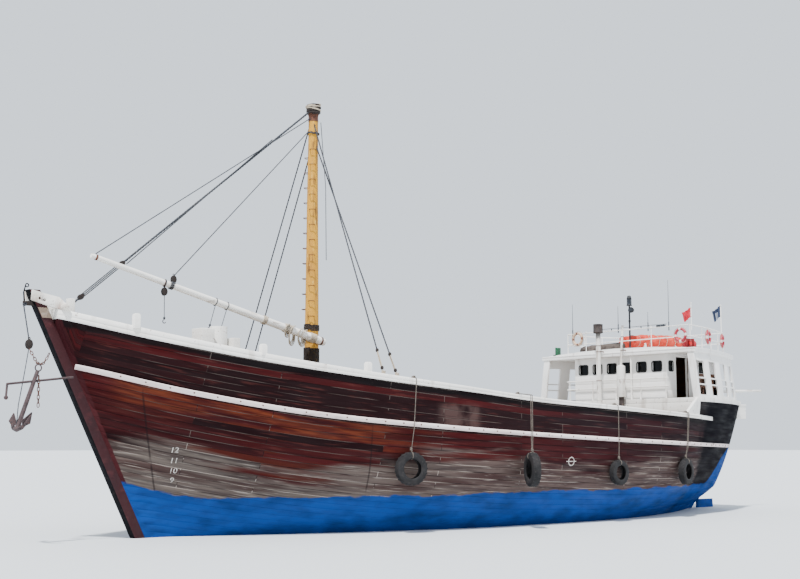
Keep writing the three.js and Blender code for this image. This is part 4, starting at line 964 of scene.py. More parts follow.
serving_top = tube(coil((MAST_X, 0, 6.3), UP, mast_radius(6.3) + 0.016, 0.04, 5, 0.01), 0.018, 7)
new_piece("mast_serving", [serving, serving_top], [TARRED_ROPE], smooth=60)


# Mast head
# An iron band and thick rope strops round the head of the pole hold the stays; years of tar and
# rust have run together.
head_low = MAST_TOP - 0.5996
band = turned((MAST_X, 0, 0), UP, [
    (0.165, head_low), (0.165, head_low + 0.01), (0.16, MAST_TOP - 0.4), (0.172, MAST_TOP - 0.395),
    (0.172, MAST_TOP - 0.33), (0.158, MAST_TOP - 0.325), (0.152, MAST_TOP - 0.02), (0.13, MAST_TOP)], 32)
new_piece("mast_head_band", [band], [RUST], smooth=50, stands_for="mast_head")
new_piece("mast_head_strops",
          [tube(coil((MAST_X, 0, MAST_TOP - 0.3), (0, 0.06, 1), 0.205, 0.08, 3.2, 0.03), 0.042, 9),
    tube(coil((MAST_X, 0, MAST_TOP - 0.34), (0.08, 0, 1), 0.2, 0.05, 2.1, 0.05), 0.03, 8),
], [TARRED_ROPE], smooth=60)
new_piece("mast_head_turns",
          [tube(coil((MAST_X, 0, MAST_TOP - 0.13), (0.12, -0.08, 1), 0.235, 0.035, 2.4, 0.06), 0.022, 8),
    tube(coil((MAST_X, 0, MAST_TOP - 0.2), (-0.1, 0.1, 1), 0.24, 0.02, 1.5, 0.04), 0.018, 8),
], [PALE_ROPE], smooth=60)


# Standing rigging
# Three-strand rope and wire, spliced round the mast head. Each shroud is set up to the rail with
# a pair of deadeyes and a lanyard; the forestay with a long tackle to the bow bitt.
def laid_tree():
    """Three strands laid round the path of a curve."""
    tree, given = new_tree("laid_rope", ("Path", "Geometry"), ("Radius", "Float"))
    radius = given.outputs["Radius"]
    # the lay is ten times the radius, with six points to a turn
    step = both(tree, radius, 10 / 6)
    even = add(tree, "GeometryNodeResampleCurve",
               {"mode": "LENGTH", "Curve": given.outputs["Path"], "Length": step})
    length = add(tree, "GeometryNodeSplineParameter", {}).outputs["Length"]
    angle = both(tree, both(tree, length, both(tree, radius, 10.0), "DIVIDE"), 2 * pi)
    run = add(tree, "GeometryNodeInputTangent", {})
    side = add(tree, "GeometryNodeInputNormal", {})
    up = add(tree, "ShaderNodeVectorMath", {"operation": "CROSS_PRODUCT", 0: run, 1: side})
    section = add(tree, "GeometryNodeCurvePrimitiveCircle", {"Resolution": 6, "Radius": 1.0})
    sized = add(tree, "GeometryNodeTransform", {
        "Geometry": section,
        "Scale": add(tree, "ShaderNodeCombineXYZ",
                     {0: both(tree, radius, 0.54), 1: both(tree, radius, 0.54), 2: 1.0}
                     )})
    joined = add(tree, "GeometryNodeJoinGeometry", {})
    for strand in range(3):
        turn = both(tree, angle, strand * 2 * pi / 3, "ADD")
        parts = [add(tree, "ShaderNodeVectorMath", {"operation": "SCALE", 0: way, "Scale": both(
            tree, add(tree, "ShaderNodeMath", {"operation": wave, 0: turn}), both(tree, radius, 0.5))})
            for way, wave in ((side, "COSINE"), (up, "SINE"))]
        offset = add(tree, "ShaderNodeVectorMath", {"operation": "ADD", 0: parts[0], 1: parts[1]})
        moved = add(tree, "GeometryNodeSetPosition", {"Geometry": even, "Offset": offset})
        feed(tree, joined, {"Geometry": add(tree, "GeometryNodeCurveToMesh", {
            "Curve": moved, "Profile Curve": sized, "Fill Caps": True})})
    return end_tree(tree, given, add(tree, "GeometryNodeRealizeInstances", {"Geometry": joined}))


LAID = laid_tree()


def laid_ropes(name, paths, radius, finish, body="boat", stands_for=None):
    """Ropes of one size, each through its own points."""
    lines = bpy.data.curves.new(name + "_path", "CURVE")
    lines.dimensions = "3D"
    for path in paths:
        line = lines.splines.new("POLY")
        line.points.add(len(path) - 1)
        for point, at in zip(line.points, path):
            point.co = (*map(float, at), 1.0)
    grown(name, lines, LAID, {"Radius": radius, "Finish": finish}, body, 60, stands_for)


def part_way(start, end, share):
    return tuple(a + (b - a) * share for a, b in zip(start, end))


# columns: name, x at the rail, z at the mast
SHROUDS = [("fore", 5.52, 13.05), ("aft", 5.05, 12.35)]
DEADEYE = [(0.0001, -0.028), (0.045, -0.028), (0.06, -0.016), (0.052, 0), (0.06, 0.016), (0.045, 0.028),
           (0.0001, 0.028)]
for side, word in ((1, "port"), (-1, "starboard")):
    for name, foot_x, top_z in SHROUDS:
        foot = (foot_x, side * (side_at(foot_x, rail_top(foot_x)) - 0.09), rail_top(foot_x) + 0.02)
        top = (MAST_X + (foot_x - MAST_X) * 0.2, side * 0.14, top_z)
        lower, upper = part_way(foot, top, 0.02), part_way(foot, top, 0.085)
        laid_ropes(f"shroud_{name}_{word}_wire", [[part_way(foot, top, 0.09), top],
                            coil(top, UP, 0.02, 0.05, 1)], 0.024, STAY_WIRE,
                   stands_for=f"shroud_{name}_{word}")
        eyes = [turned(at, (1, 0, 0), DEADEYE, 18) for at in (lower, upper)]
        lanyards = []
        for shift in (-0.028, 0, 0.028):
            ends = [(at[0] + 0.01, at[1] + shift, at[2]) for at in (lower, upper)]
            lanyards.append(tube(ends, 0.011, 6))
        strop = tube(coil((foot[0], foot[1], foot[2] - 0.01), UP, 0.05, 0.03, 3), 0.016, 7)
        new_piece(f"deadeyes_{name}_{word}", eyes, [TARRED_ROPE], smooth=50)
        new_piece(f"lanyards_{name}_{word}", [*lanyards, strop], [PALE_ROPE], smooth=60)

STAY_TOP, STAY_FOOT = (5.42, 0, 13.53), (13.6, 0, 6.62)
TACKLE_TOP, TACKLE_LOW = part_way(STAY_TOP, STAY_FOOT, 0.82), part_way(STAY_TOP, STAY_FOOT, 0.975)
laid_ropes("forestay_rope", [[STAY_TOP, TACKLE_TOP], [TACKLE_LOW, STAY_FOOT]], 0.034, STAY_WIRE,
           stands_for="forestay")
parts_of_tackle = [[(x, y, z + lift) for (x, y, z), lift in ((TACKLE_TOP, dz), (TACKLE_LOW, dz))]
                   for y, dz in ((0, 0.06), (0, -0.06), (0, 0))]
laid_ropes("forestay_tackle", parts_of_tackle + [[(6.9, 0.02, 12.36), (12.0, 0.03, 7.86)]], 0.018, STAY_WIRE)


def pulley(at, along, size=0.075):
    """A wooden block with its sheave, iron strap and eye; along is the way it pulls."""
    along = Vector(along).normalized()
    across = along.cross(Vector((0, 1, 0))).normalized()
    at = Vector(at)
    cheeks = []
    for shift in (-0.032, 0.032):
        rim = [(at + Vector((0, shift, 0)) + (along * cos(t) * 1.35 + across * sin(t)) * size)
               for t in around(16)]
        rings = [[tuple(p + Vector((0, d, 0))) for p in rim] for d in (-0.014, 0.014)]
        cheeks.append(skin(rings))
    sheave = turned(at, (0, 1, 0),
                    [(0.0001, -0.017), (size * 0.8, -0.017), (size * 0.7, 0), (size * 0.8, 0.017),
                     (0.0001, 0.017)], 16)
    eye = hoop(at + along * size * 1.6, (0, 1, 0), size * 0.3, 0.012, 14, 6)
    return gather(*cheeks, sheave, eye)


stay_run = Vector(STAY_FOOT) - Vector(STAY_TOP)
new_piece("forestay_blocks", [pulley(TACKLE_TOP, stay_run), pulley(TACKLE_LOW, -stay_run)],
          [TARRED_ROPE], eased=0.004, smooth=50)
laid_ropes("halyard_fall", [[(5.06, 0.16, 13.2), (4.97, 0.33, 11.0), (4.95, 0.36, 8.6)]], 0.013, STAY_WIRE)


# Boom
# A tapered spar painted white, slung from the mast by a rope strop and held up by its lift. Spare
# rope is made up in hanks along it, and two wire pendants hang from it.
HEEL, TIP, HEEL_RADIUS, TIP_RADIUS = (5.05, 0.42, 5.91), (13.26, 0.29, 7.96), 0.13, 0.075
STROP_Z, LIFT_X = 6.01, 10.6
SPAR_WHITE = coated("spar_white_paint", "white_paint", "#efece6", [
    ((0.6, 6, 6), 4, 0.5, 0.72, 0.5, "#c9bfb2"), ((2.0, 9, 9), 4, 0.6, 0.7, 0.7, "#8b7561"),
    ((0.25, 1, 1), 3, 0.5, 0.7, 0.4, "#b8a18a")], roughness=(0.45, 0.7))


def on_boom(x):
    return part_way(HEEL, TIP, (x - HEEL[0]) / (TIP[0] - HEEL[0]))


def boom_radius(x):
    return HEEL_RADIUS + (TIP_RADIUS - HEEL_RADIUS) * (x - HEEL[0]) / (TIP[0] - HEEL[0])


boom_run = Vector(TIP) - Vector(HEEL)
spar_path, spar_radii = [], []
# columns: share of the length, share of the radius
SPAR_ENDS = [(0, 0.78), (0.006, 0.92), (0.03, 0.98), (0.985, 0.97), (1, 0.85)]
for share, grow in sorted(SPAR_ENDS + [(s, 1.0) for s in np.linspace(0.06, 0.97, 24)]):
    spar_path.append(part_way(HEEL, TIP, share))
    spar_radii.append((HEEL_RADIUS + (TIP_RADIUS - HEEL_RADIUS) * share) * grow)
new_piece("boom_spar", [tube(spar_path, spar_radii, 28)], [SPAR_WHITE], body="boom", smooth=50,
          stands_for="boom")
bands = [turned(on_boom(x), boom_run,
                mirrored([(boom_radius(x) - 0.002, -0.03), (boom_radius(x) + 0.008, -0.028)]),
                28) for x in (5.2, 10.9, 13.1)]
new_piece("boom_bands", bands, [RUST], body="boom", smooth=50)
strop_radius = mast_radius(STROP_Z - 0.035) + 0.043
lashing = [hoop((MAST_X, 0, STROP_Z + lift), UP, strop_radius - 0.006, 0.018, 40, 8)
           for lift in (-0.017, 0.017)]
# columns: x, clear of the spar, pitch, turns, wobble, radius of the rope
for x, clear, pitch, turns, wobble, thick in (
        (5.42, 0.015, 0.034, 7, 0, 0.016), (6.35, 0.014, 0.05, 6, 0.03, 0.015),
        (7.3, 0.013, 0.04, 4, 0.02, 0.014)):
    lashing.append(tube(coil(on_boom(x), boom_run, boom_radius(x) + clear, pitch, turns, wobble), thick, 7))
new_piece("boom_strop", lashing, [PALE_ROPE], body="boom", smooth=60)


def hank(x, drop, wide, lean):
    """A made-up rope hung over the boom, in long loops."""
    at = Vector(on_boom(x))
    loops = []
    for i in range(4):
        path = []
        for t in around(22):
            path.append(at + Vector(((wide + 0.02 * i) * sin(t) + lean * (1 - cos(t)) * 0.5,
                                     0.15 * cos(t * 0.5) + 0.012 * i - 0.02,
                                     boom_radius(x) + 0.02 - (drop + 0.04 * i) * (1 - cos(t)) / 2)))
        loops.append(tube(path + [path[0]], 0.014, 6))
    return gather(*loops)


new_piece("boom_hanks",
          [hank(6.3, 0.5, 0.13, 0.06), hank(6.0, 0.44, 0.15, -0.05), hank(6.5, 0.3, 0.1, 0.03),
                  hank(5.85, 0.3, 0.1, 0.05)],
          [PALE_ROPE], body="boom", smooth=60)

lift_foot = on_boom(LIFT_X)
lift_ring = mast_radius(12.82) + 0.037
lift_top = (MAST_X + lift_ring, -0.03, 12.85)
laid_ropes("boom_lift_rope", [
    [(lift_foot[0], lift_foot[1], lift_foot[2] + 0.3), lift_top],
    coil((MAST_X, 0, 12.79), UP, lift_ring, 0.03, 2),
    coil(lift_foot, boom_run, boom_radius(LIFT_X) + 0.022, 0.045, 3),
    [(MAST_X + 0.16, 0.02, 13.3), (13.12, 0.29, 8.02)],
], 0.017, STAY_WIRE, body="boom", stands_for="boom_lift")
new_piece("boom_lift_block", [pulley((lift_foot[0], lift_foot[1], lift_foot[2] + 0.2), UP, 0.085)],
          [TARRED_ROPE], body="boom", eased=0.003)


def pendant(x, length, reach=0.0):
    """A wire with a thimble and an iron hook, hanging from the boom."""
    at = Vector(on_boom(x))
    top = at - Vector((0, 0, boom_radius(x)))
    foot = top + Vector((reach, 0.03, -length))
    bend = [foot + Vector((0.05 * sin(t), 0, -0.1 + 0.05 * cos(t))) for t in np.linspace(0, 4.4, 12)]
    return gather(tube([top, part_way(top, foot, 0.5), foot], 0.011, 7), tube([foot] + bend, 0.013, 7),
                  hoop(foot, (0, 1, 0), 0.03, 0.012, 14, 6),
                  hoop(at, boom_run, boom_radius(x) + 0.012, 0.014, 24, 6))


new_piece("boom_pendants", [pendant(10.9, 0.95), pendant(8.75, 0.8, 0.28), pendant(9.15, 0.62, 0.2)],
          [STAY_WIRE], body="boom", smooth=60)
new_piece("boom_pendant_block", [pulley(tuple(Vector(on_boom(10.9)) - Vector((0, 0, 0.26))), UP, 0.09)],
          [TARRED_ROPE], body="boom", eased=0.003)


# Anchor
# A forged iron anchor hangs ahead of the stem on its chain, its stock bent down at the outer end.
# A rope fall from the stem head carries the weight, and a tripping line runs to the crown.
ANCHOR_IRON = coated("brown_forged_iron", "rusty_iron", "#443536", [
    (8, 5, 0.45, 0.65, 0.7, "#2a2122"), (20, 3, 0.6, 0.7, 0.6, "#6b443a")],
    roughness=(0.7, 0.95))
softened("anchor", "anchor_shank_and_arms", [ANCHOR_IRON], 0.006, smooth=60)
softened("anchor_stock", "anchor_stock_bar", [ANCHOR_IRON], 0.0, smooth=60)
FALL_TOP, FALL_BLOCK = (15.09, 0, 6.5), (15.0, 0.25, 5.36)
laid_ropes("anchor_fall", [[FALL_TOP, (FALL_BLOCK[0], FALL_BLOCK[1], FALL_BLOCK[2] + 0.1)],
                  coil((15.06, 0, 6.46), (0, 1, 0.3), 0.035, 0.03, 2)], 0.02, STAY_WIRE,
           stands_for="anchor_tackle")
new_piece("anchor_block", [pulley(FALL_BLOCK, UP, 0.1), block(14.72, 15.1, -0.035, 0.035, 6.44, 6.56)],
          [TARRED_ROPE], eased=0.004)
laid_ropes("anchor_tripping_line",
           [[(15.01, 0.27, 5.25), (15.2, 0.48, 4.6), (15.4, 0.6, 3.7), (15.44, 0.62, 3.16)]],
           0.014, STAY_WIRE)


def chain_places(start, end, pitch, sag=0.0):
    """Places of the links between two points, turned a quarter each time."""
    start, end = Vector(start), Vector(end)
    count = max(2, round((end - start).length / pitch))
    at = [start.lerp(end, (i + 0.5) / count) - Vector((0, 0, sag * sin(pi * (i + 0.5) / count)))
          for i in range(count)]
    places = []
    for i, point in enumerate(at):
        run = (at[min(i + 1, count - 1)] - at[max(i - 1, 0)]).normalized()
        side = run.orthogonal().normalized()
        places.append((point, side if i % 2 else run.cross(side), run))
    return places


link_path = [Vector((0.045 * cos(t) + (0.022 if cos(t) > 0 else -0.022), 0.032 * sin(t), 0))
             for t in around(16)]
link = tube(link_path + [link_path[0]], 0.011, 6)
set_out("anchor_chain", link, chain_places((15.0, 0.27, 5.24), (14.9, 0.6, 4.82), 0.1)
        + chain_places((14.9, 0.55, 4.86), (14.36, 0.17, 5.16), 0.1, 0.16)
        + chain_places((14.86, 0.62, 4.5), (14.85, 0.62, 3.66), 0.1), RUST)


# Tyre fenders
# Worn lorry tyres hung over the side on old rope made fast to the rail, their treads cut in
# blocks, grey with salt. The second has swung round on its rope.
RUBBER = coated("salt_grey_tyre_rubber", "rubber", "#0d0b0d", [
    (5, 5, 0.48, 0.7, 0.6, "#211c1c"), (16, 3, 0.62, 0.72, 0.4, "#453e3b")],
    roughness=(0.75, 0.95))
# columns: node, x, z of the centre, outer diameter, width, turn about the rope in degrees, ropes apart
TYRES = [("tyre_1", 4.48, 1.93, 1.01, 0.25, 0, 0.0), ("tyre_2", 0.1, 1.86, 1.08, 0.27, 62, 0.07),
         ("tyre_3", -4.72, 1.69, 0.86, 0.21, 0, 0.0), ("tyre_4", -8.9, 1.66, 0.96, 0.24, 0, 0.06)]
# columns: share of the radius, share of half the width
TYRE_SECTION = mirrored([
    (0.57, -0.86), (0.6, -0.98), (0.7, -1.03), (0.82, -1.02), (0.92, -0.93), (0.965, -0.82), (0.985, -0.5),
    (0.975, -0.47), (0.975, -0.4), (0.987, -0.37), (0.99, -0.04), (0.978, -0.02)]) + mirrored([
        (0.6, 0.74), (0.75, 0.84), (0.86, 0.74), (0.905, 0.4)])


def lathed_ring(centre, axis, section, steps=56):
    """A ring turned from a closed section."""
    centre, axis = Vector(centre), Vector(axis).normalized()
    side = Vector(UP)
    up = axis.cross(side)
    corners, faces, count = [], [], len(section)
    for i, turn in enumerate(around(steps)):
        out = side * cos(turn) + up * sin(turn)
        corners += [tuple(centre + out * r + axis * w) for r, w in section]
        k = (i + 1) % steps
        faces += [(i * count + j, k * count + j, k * count + (j + 1) % count, i * count + (j + 1) % count)
                  for j in range(count)]
    return corners, faces


for node, x, z, diameter, width, turn, apart in TYRES:
    radius = diameter / 2
    swing = math.atan2(float(half_breadth(x - 0.4, z) - half_breadth(x + 0.4, z)), 0.8)
    heading = -swing + radians(turn)
    axis = Vector((-sin(heading), cos(heading), 0))
    reach = abs(sin(radians(turn))) * radius + cos(radians(turn)) * width / 2
    hull_side = max(side_at(x, z + radius * t) for t in (-1, 0, 1))
    centre = Vector((x, hull_side + reach + 0.015, z))
    new_piece(f"{node}_casing", [lathed_ring(centre, axis, [
        (r * radius, w * width / 2) for r, w in TYRE_SECTION])], [RUBBER], smooth=40, stands_for=node)
    lug = block(-0.022, 0.022, -width * 0.13, width * 0.13, -0.004, 0.006)
    places = []
    for i, angle in enumerate(around(44)):
        out = Vector(UP) * cos(angle) + axis.cross(Vector(UP)) * sin(angle)
        shift = axis * width * (0.31 if i % 2 else -0.31)
        places.append((centre + out * radius * 0.982 + shift, out, out.cross(axis)))
    set_out(f"{node}_tread", lug, places, RUBBER)
    edge = side_at(x, rail_top(x)) + CAP_OUT
    strake_y = max(centre.y, side_at(x, rub_top(x)) + RUB_PROUD + 0.03)
    top_y = max(strake_y, edge + 0.025)
    lines = []
    for shift in ((0,) if not apart else (-apart / 2, apart / 2)):
        lines.append([(x + shift * 0.3, centre.y, z + radius * 0.99),
                      (x + shift, strake_y, rub_top(x) - RUB_DEEP - 0.06),
                      (x + shift, top_y, rail_top(x) - 0.03), (x + shift, edge - 0.01, rail_top(x) + 0.025),
                      (x + shift, edge - 0.22, rail_top(x) + 0.025)])
    wrap = [centre + Vector((0, 0, radius * 0.775)) + (Vector(UP) * cos(t) * radius * 0.24
            + axis * sin(t) * width * 0.58) for t in np.linspace(0, 2 * pi, 17)]
    laid_ropes(f"{node}_rope", lines + [wrap], 0.014, GREY_ROPE)
    knot = gather(tube(coil((x, centre.y, z + radius + 0.03), UP, 0.03, 0.03, 3), 0.016, 7),
                  tube(coil((x, edge - 0.16, rail_top(x) + 0.04), (0, 1, 0), 0.03, 0.03, 3), 0.016, 7))
    new_piece(f"{node}_knots", [knot], [GREY_ROPE], smooth=60)


# Poop
# The raised after end. Its front is closed with broad white boards between the bulwarks; a white
# band runs around its edge, with a pipe rail across the front.
BAND_TOP = POOP_DECK + 0.1604
PIPE_WHITE = coated("white_enamelled_pipe", "white_metal", "#f3f1ec", [
    ((6, 6, 1.5), 4, 0.54, 0.7, 0.5, "#b9aea2"), (18, 3, 0.64, 0.7, 0.7, "#7d4c33")],
    roughness=(0.3, 0.55))
FRONT_BOARD = 0.34


def poop_edge(x):
    return side_at(x, POOP_DECK)


def siding(x0, x1, y_at, low, high, proud, rows, side=1, across=False):
    """Broad boards one above the other with a shadow gap; y_at gives the wall's half width or its place."""
    parts = []
    for k in range(rows):
        z0, z1 = low + (high - low) * k / rows + 0.006, low + (high - low) * (k + 1) / rows - 0.006
        if across:
            y0, y1 = y_at(z0), y_at(z1)
            parts.append(skin([[(x, -y0, z0), (x, y0, z0), (x, y1, z1), (x, -y1, z1)]
                               for x in (x0, x0 + proud)]))
        else:
            y = y_at(z0)
            parts.append(block(x0, x1, *span(side, y + SEAT, y + proud), z0, z1))
    return gather(*parts)


deck_before_poop = deck_at(POOP_X) + 0.004
poop_front = siding(POOP_X + 0.002, 0, lambda z: side_at(POOP_X, z) - 0.19, deck_before_poop, 4.244, 0.03,
                    round((4.244 - deck_before_poop) / FRONT_BOARD), across=True)
new_piece("poop_front_boards", [poop_front], [WHITE], eased=0.006)
softened("poop_band", "poop_band_timbers", [WHITE], 0.01)


# Wheelhouse
# A square house of broad horizontal boards painted white, with six dark windows across its front,
# and a framed door on each side. It is varnished inside.
HOUSE_FORE, HOUSE_AFT, HOUSE_HALF, WINDOW_LOW, WINDOW_HIGH = -10.2, -13.6, 2.34, 5.48, 5.88
# columns: fore and aft edge
SIDE_WINDOWS = [(-10.33, -10.64), (-12.0, -12.7)]
HOUSE_WHITE = coated("satin_white_house_paint", "white_paint", "#f4f2ef", [
    ((1.0, 1.0, 0.5), 4, 0.5, 0.75, 0.35, "#cfc9c2"), ((4.0, 4.0, 0.6), 5, 0.6, 0.72, 0.5, "#a79b8e")],
    roughness=(0.35, 0.6))
VARNISH = coated("varnished_inner_boards", "deck_wood", "#6a4026", [
    ((1, 1, 6), 4, 0.45, 0.7, 0.7, "#4a2a18"), ((3, 3, 14), 4, 0.55, 0.7, 0.5, "#8a5a36")],
                 roughness=(0.3, 0.5))
GASKET = coated("black_window_rubber", "rubber", "#0e0f11", [(8, "#1d1f23")], roughness=(0.7, 0.9))
WINDOW_GLASS = coated("dark_window_glass", "glass", "#06080a", [(3, 3, 0.5, 0.7, 0.4, "#12171a")],
                      roughness=(0.08, 0.2), grain=(2, 0.0003), **{"Specular IOR Level": 0.12})


def house_shade(middle, normal):
    inside = HOUSE_AFT + 0.1 > middle.x > HOUSE_AFT + 0.07 or HOUSE_FORE - 0.1 < middle.x < HOUSE_FORE - 0.07
    return 1 if inside or (abs(abs(middle.y) - HOUSE_HALF + 0.08) < 0.01 and abs(normal.y) > 0.9) else 0


softened("wheelhouse_walls", "wheelhouse_wall_panels", [HOUSE_WHITE, VARNISH], 0.006, house_shade)
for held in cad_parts["front_glass"].material_slots:
    held.material = WINDOW_GLASS
house_boards = [siding(HOUSE_FORE + SEAT, 0, lambda z: HOUSE_HALF - 0.02, low, high, 0.014, rows,
                       across=True)
                for low, high, rows in ((4.42, 5.42, 3), (5.95, 6.14, 1))]
# columns: aft and fore end, low and high edge, boards one above the other
SIDE_BOARDS = [(-10.79, -10.22, 4.42, 5.42, 3), (-13.58, -11.56, 4.42, 5.42, 3),
               (-13.58, -10.22, 6.07, 6.14, 1)]
for side in (1, -1):
    house_boards += [siding(aft, fore, lambda z: HOUSE_HALF, low, high, 0.004, rows, side)
                     for aft, fore, low, high, rows in SIDE_BOARDS]
new_piece("wheelhouse_siding", house_boards, [HOUSE_WHITE], eased=0.003)


def rounded(half_y, half_z, corner, steps=5):
    """Outline of a window with rounded corners."""
    points = []
    for sy, sz, start in ((1, 1, 0), (-1, 1, 90), (-1, -1, 180), (1, -1, 270)):
        for k in range(steps + 1):
            t = radians(start + 90 * k / steps)
            points.append((sy * (half_y - corner) + corner * cos(t), sz * (half_z - corner)
                           + corner * sin(t)))
    return points


def window_frame(half_y, half_z, thick=0.016, wide=0.018):
    """A flat rubber frame with rounded corners, about the middle of its window, facing +X."""
    outer, inner = rounded(half_y + 0.02, half_z + 0.02, 0.1), rounded(half_y - wide, half_z - wide, 0.085)
    count = len(outer)
    corners = [(x, y, z) for x in (0, thick) for y, z in outer + inner]
    faces = []
    for i in range(count):
        k = (i + 1) % count
        for a, b in ((i, k), (i + count, k + count)):
            faces.append((a, b, b + 2 * count, a + 2 * count))
        faces.append((i, k, k + count, i + count))
        faces.append((i + 2 * count, k + 2 * count, k + 3 * count, i + 3 * count))
    return corners, faces


def moved(part, place, turn=0.0):
    """A part turned about Z and carried to its place."""
    c, s = cos(turn), sin(turn)
    corners = [(x * c - y * s + place[0], x * s + y * c + place[1], z + place[2]) for x, y, z in part[0]]
    return corners, part[1]


window_middle = (WINDOW_LOW + WINDOW_HIGH) / 2
frames = [moved(window_frame(0.24, 0.2), (HOUSE_FORE + 0.001, (i - 2.5) * 0.75, window_middle))
          for i in range(6)]
for side in (1, -1):
    for fore, aft in SIDE_WINDOWS:
        frames.append(moved(window_frame((fore - aft) / 2, 0.2, 0.004), (
            (fore + aft) / 2, side * (HOUSE_HALF + SEAT), window_middle), side * pi / 2))
new_piece("window_rubbers", frames, [GASKET])
side_panes = [block(aft - 0.02, fore + 0.02, *span(side, HOUSE_HALF - 0.05, HOUSE_HALF - 0.044),
                    WINDOW_LOW - 0.02, WINDOW_HIGH + 0.02)
              for side in (1, -1) for fore, aft in SIDE_WINDOWS]
new_piece("side_window_panes", side_panes, [WINDOW_GLASS])

DOOR_LOW, DOOR_HIGH, DOOR_HINGE = 4.3104, 6.04, (-11.515, 2.37)
for side, word, opens in ((1, "port", -1), (-1, "starboard", 1)):
    y = side * DOOR_HINGE[1]
    near, far = DOOR_HINGE[0] + opens * 0.014, DOOR_HINGE[0] + opens * 0.69

    def leaf(a, b, low, high, half):
        x0, x1 = sorted((near + (far - near) * a, near + (far - near) * b))
        return block(x0, x1, y - half, y + half, low, high)

    boards = [leaf(0, 0.15, DOOR_LOW, DOOR_HIGH, 0.02), leaf(0.85, 1, DOOR_LOW, DOOR_HIGH, 0.02)]
    boards += [leaf(0.15, 0.85, low, high, 0.02) for low, high in (
        (DOOR_LOW, DOOR_LOW + 0.16), (DOOR_LOW + 0.78, DOOR_LOW + 0.9), (DOOR_HIGH - 0.12, DOOR_HIGH))]
    boards += [leaf(0.15, 0.85, low, high, 0.008) for low, high in (
        (DOOR_LOW + 0.16, DOOR_LOW + 0.78), (DOOR_LOW + 0.9, DOOR_HIGH - 0.12))]
    new_piece(f"wheelhouse_door_{word}_leaf", boards, [HOUSE_WHITE], body=f"door_{word}",
              eased=0.003, stands_for=f"wheelhouse_door_{word}")
    irons = [tube([(DOOR_HINGE[0], y, DOOR_LOW), (DOOR_HINGE[0], y, DOOR_HIGH)], 0.014, 12)]
    irons += [tube([(DOOR_HINGE[0], y, z), (DOOR_HINGE[0], y, z + 0.12)], 0.018, 12)
              for z in (DOOR_LOW + 0.1, DOOR_LOW + 0.8, DOOR_HIGH - 0.22)]
    knob_x = near + (far - near) * 0.92
    # the lever is on the inner face; the outer face has a flat plate, so that the door lies back on the wall
    irons.append(tube([(knob_x, y, 5.15), (knob_x, y + 0.045, 5.15)], 0.009, 10))
    irons.append(tube([(knob_x, y + 0.045, 5.15), (knob_x - (far - near) * 0.14, y + 0.045, 5.15)], 0.008, 8))
    irons.append(block(knob_x - 0.02, knob_x + 0.02, y - 0.0225, y - 0.019, 5.08, 5.2))
    new_piece(f"wheelhouse_door_{word}_irons", irons, [RUST], body=f"door_{word}", smooth=50)


# Dark varnished two-leaf doors on both house sides aft: partly a guessed door, partly painted shade for the
# dark that shows through the gallery openings.
gallery_shade_doors = []
for side in (1, -1):
    y = [side * (HOUSE_HALF + out) for out in (SEAT, 0.02, 0.03)]
    for aft, fore in ((-12.88, -12.26), (-13.52, -12.9)):
        gallery_shade_doors.append(block(aft, fore, *sorted(y[:2]), 4.42, 5.44))
        gallery_shade_doors += [block(x0, x1, *sorted(y[1:]), low, high) for x0, x1, low, high in (
            (aft, aft + 0.09, 4.42, 5.44), (fore - 0.09, fore, 4.42, 5.44),
            (aft + 0.09, fore - 0.09, 4.42, 4.52),
            (aft + 0.09, fore - 0.09, 4.9, 4.98), (aft + 0.09, fore - 0.09, 5.34, 5.44))]
new_piece("side_locker_doors", gallery_shade_doors, [VARNISH], eased=0.003)


# Roof and galleries
# A cambered roof of boards under painted canvas reaches out over side galleries, whose screens
# are framed openings with rails across.
ROOF_LOW, ROOF_EDGE, ROOF_CAMBER = 6.15, 0.15, 0.16
CANVAS_WHITE = coated("painted_deck_canvas", "white_paint", "#dcdad6", [
    (1.2, 4, 0.48, 0.72, 0.5, "#b5b0a9"), (5, 4, 0.6, 0.72, 0.5, "#8d857b")], roughness=(0.6, 0.85))


def roof_edge(x):
    return poop_edge(x) - 0.23


def roof_high(x, y):
    t = abs(y) / (roof_edge(x) + 0.02)
    return ROOF_LOW + ROOF_EDGE + ROOF_CAMBER * (1 - 0.5 * t if t < 0.5 else 1.5 * (1 - t))


softened("wheelhouse_roof", "wheelhouse_roof_shell", [HOUSE_WHITE, CANVAS_WHITE], 0.015,
         lambda middle, normal: 1 if normal.z > 0.5 else 0)
ROOF_FORE, ROOF_AFT = -9.92, -15.3
edging = []
for side in (1, -1):
    edging.append(skin([[(x, side * (roof_edge(x) + out), ROOF_LOW + rise) for out, rise in (
        (0.004, 0.004), (0.022, 0.004), (0.04, ROOF_EDGE - 0.04), (0.04, ROOF_EDGE + 0.01),
        (0.0, ROOF_EDGE + 0.01))]
        for x in stations(ROOF_AFT, ROOF_FORE)]))
front_edge = roof_edge(ROOF_FORE)
edging.append(block(ROOF_FORE + SEAT, ROOF_FORE + 0.02, -front_edge - 0.03, front_edge + 0.03, ROOF_LOW,
                    ROOF_LOW + ROOF_EDGE - 0.04))
edging.append(block(ROOF_FORE - 0.03, ROOF_FORE + 0.032, -front_edge - 0.04, front_edge + 0.04,
                    ROOF_LOW + ROOF_EDGE - 0.038, ROOF_LOW + ROOF_EDGE + 0.01))
new_piece("roof_edging", edging, [HOUSE_WHITE], eased=0.005)
for word in ("port", "starboard"):
    softened(f"gallery_screen_{word}", f"gallery_screen_frames_{word}", [HOUSE_WHITE], 0.01)
sills = []
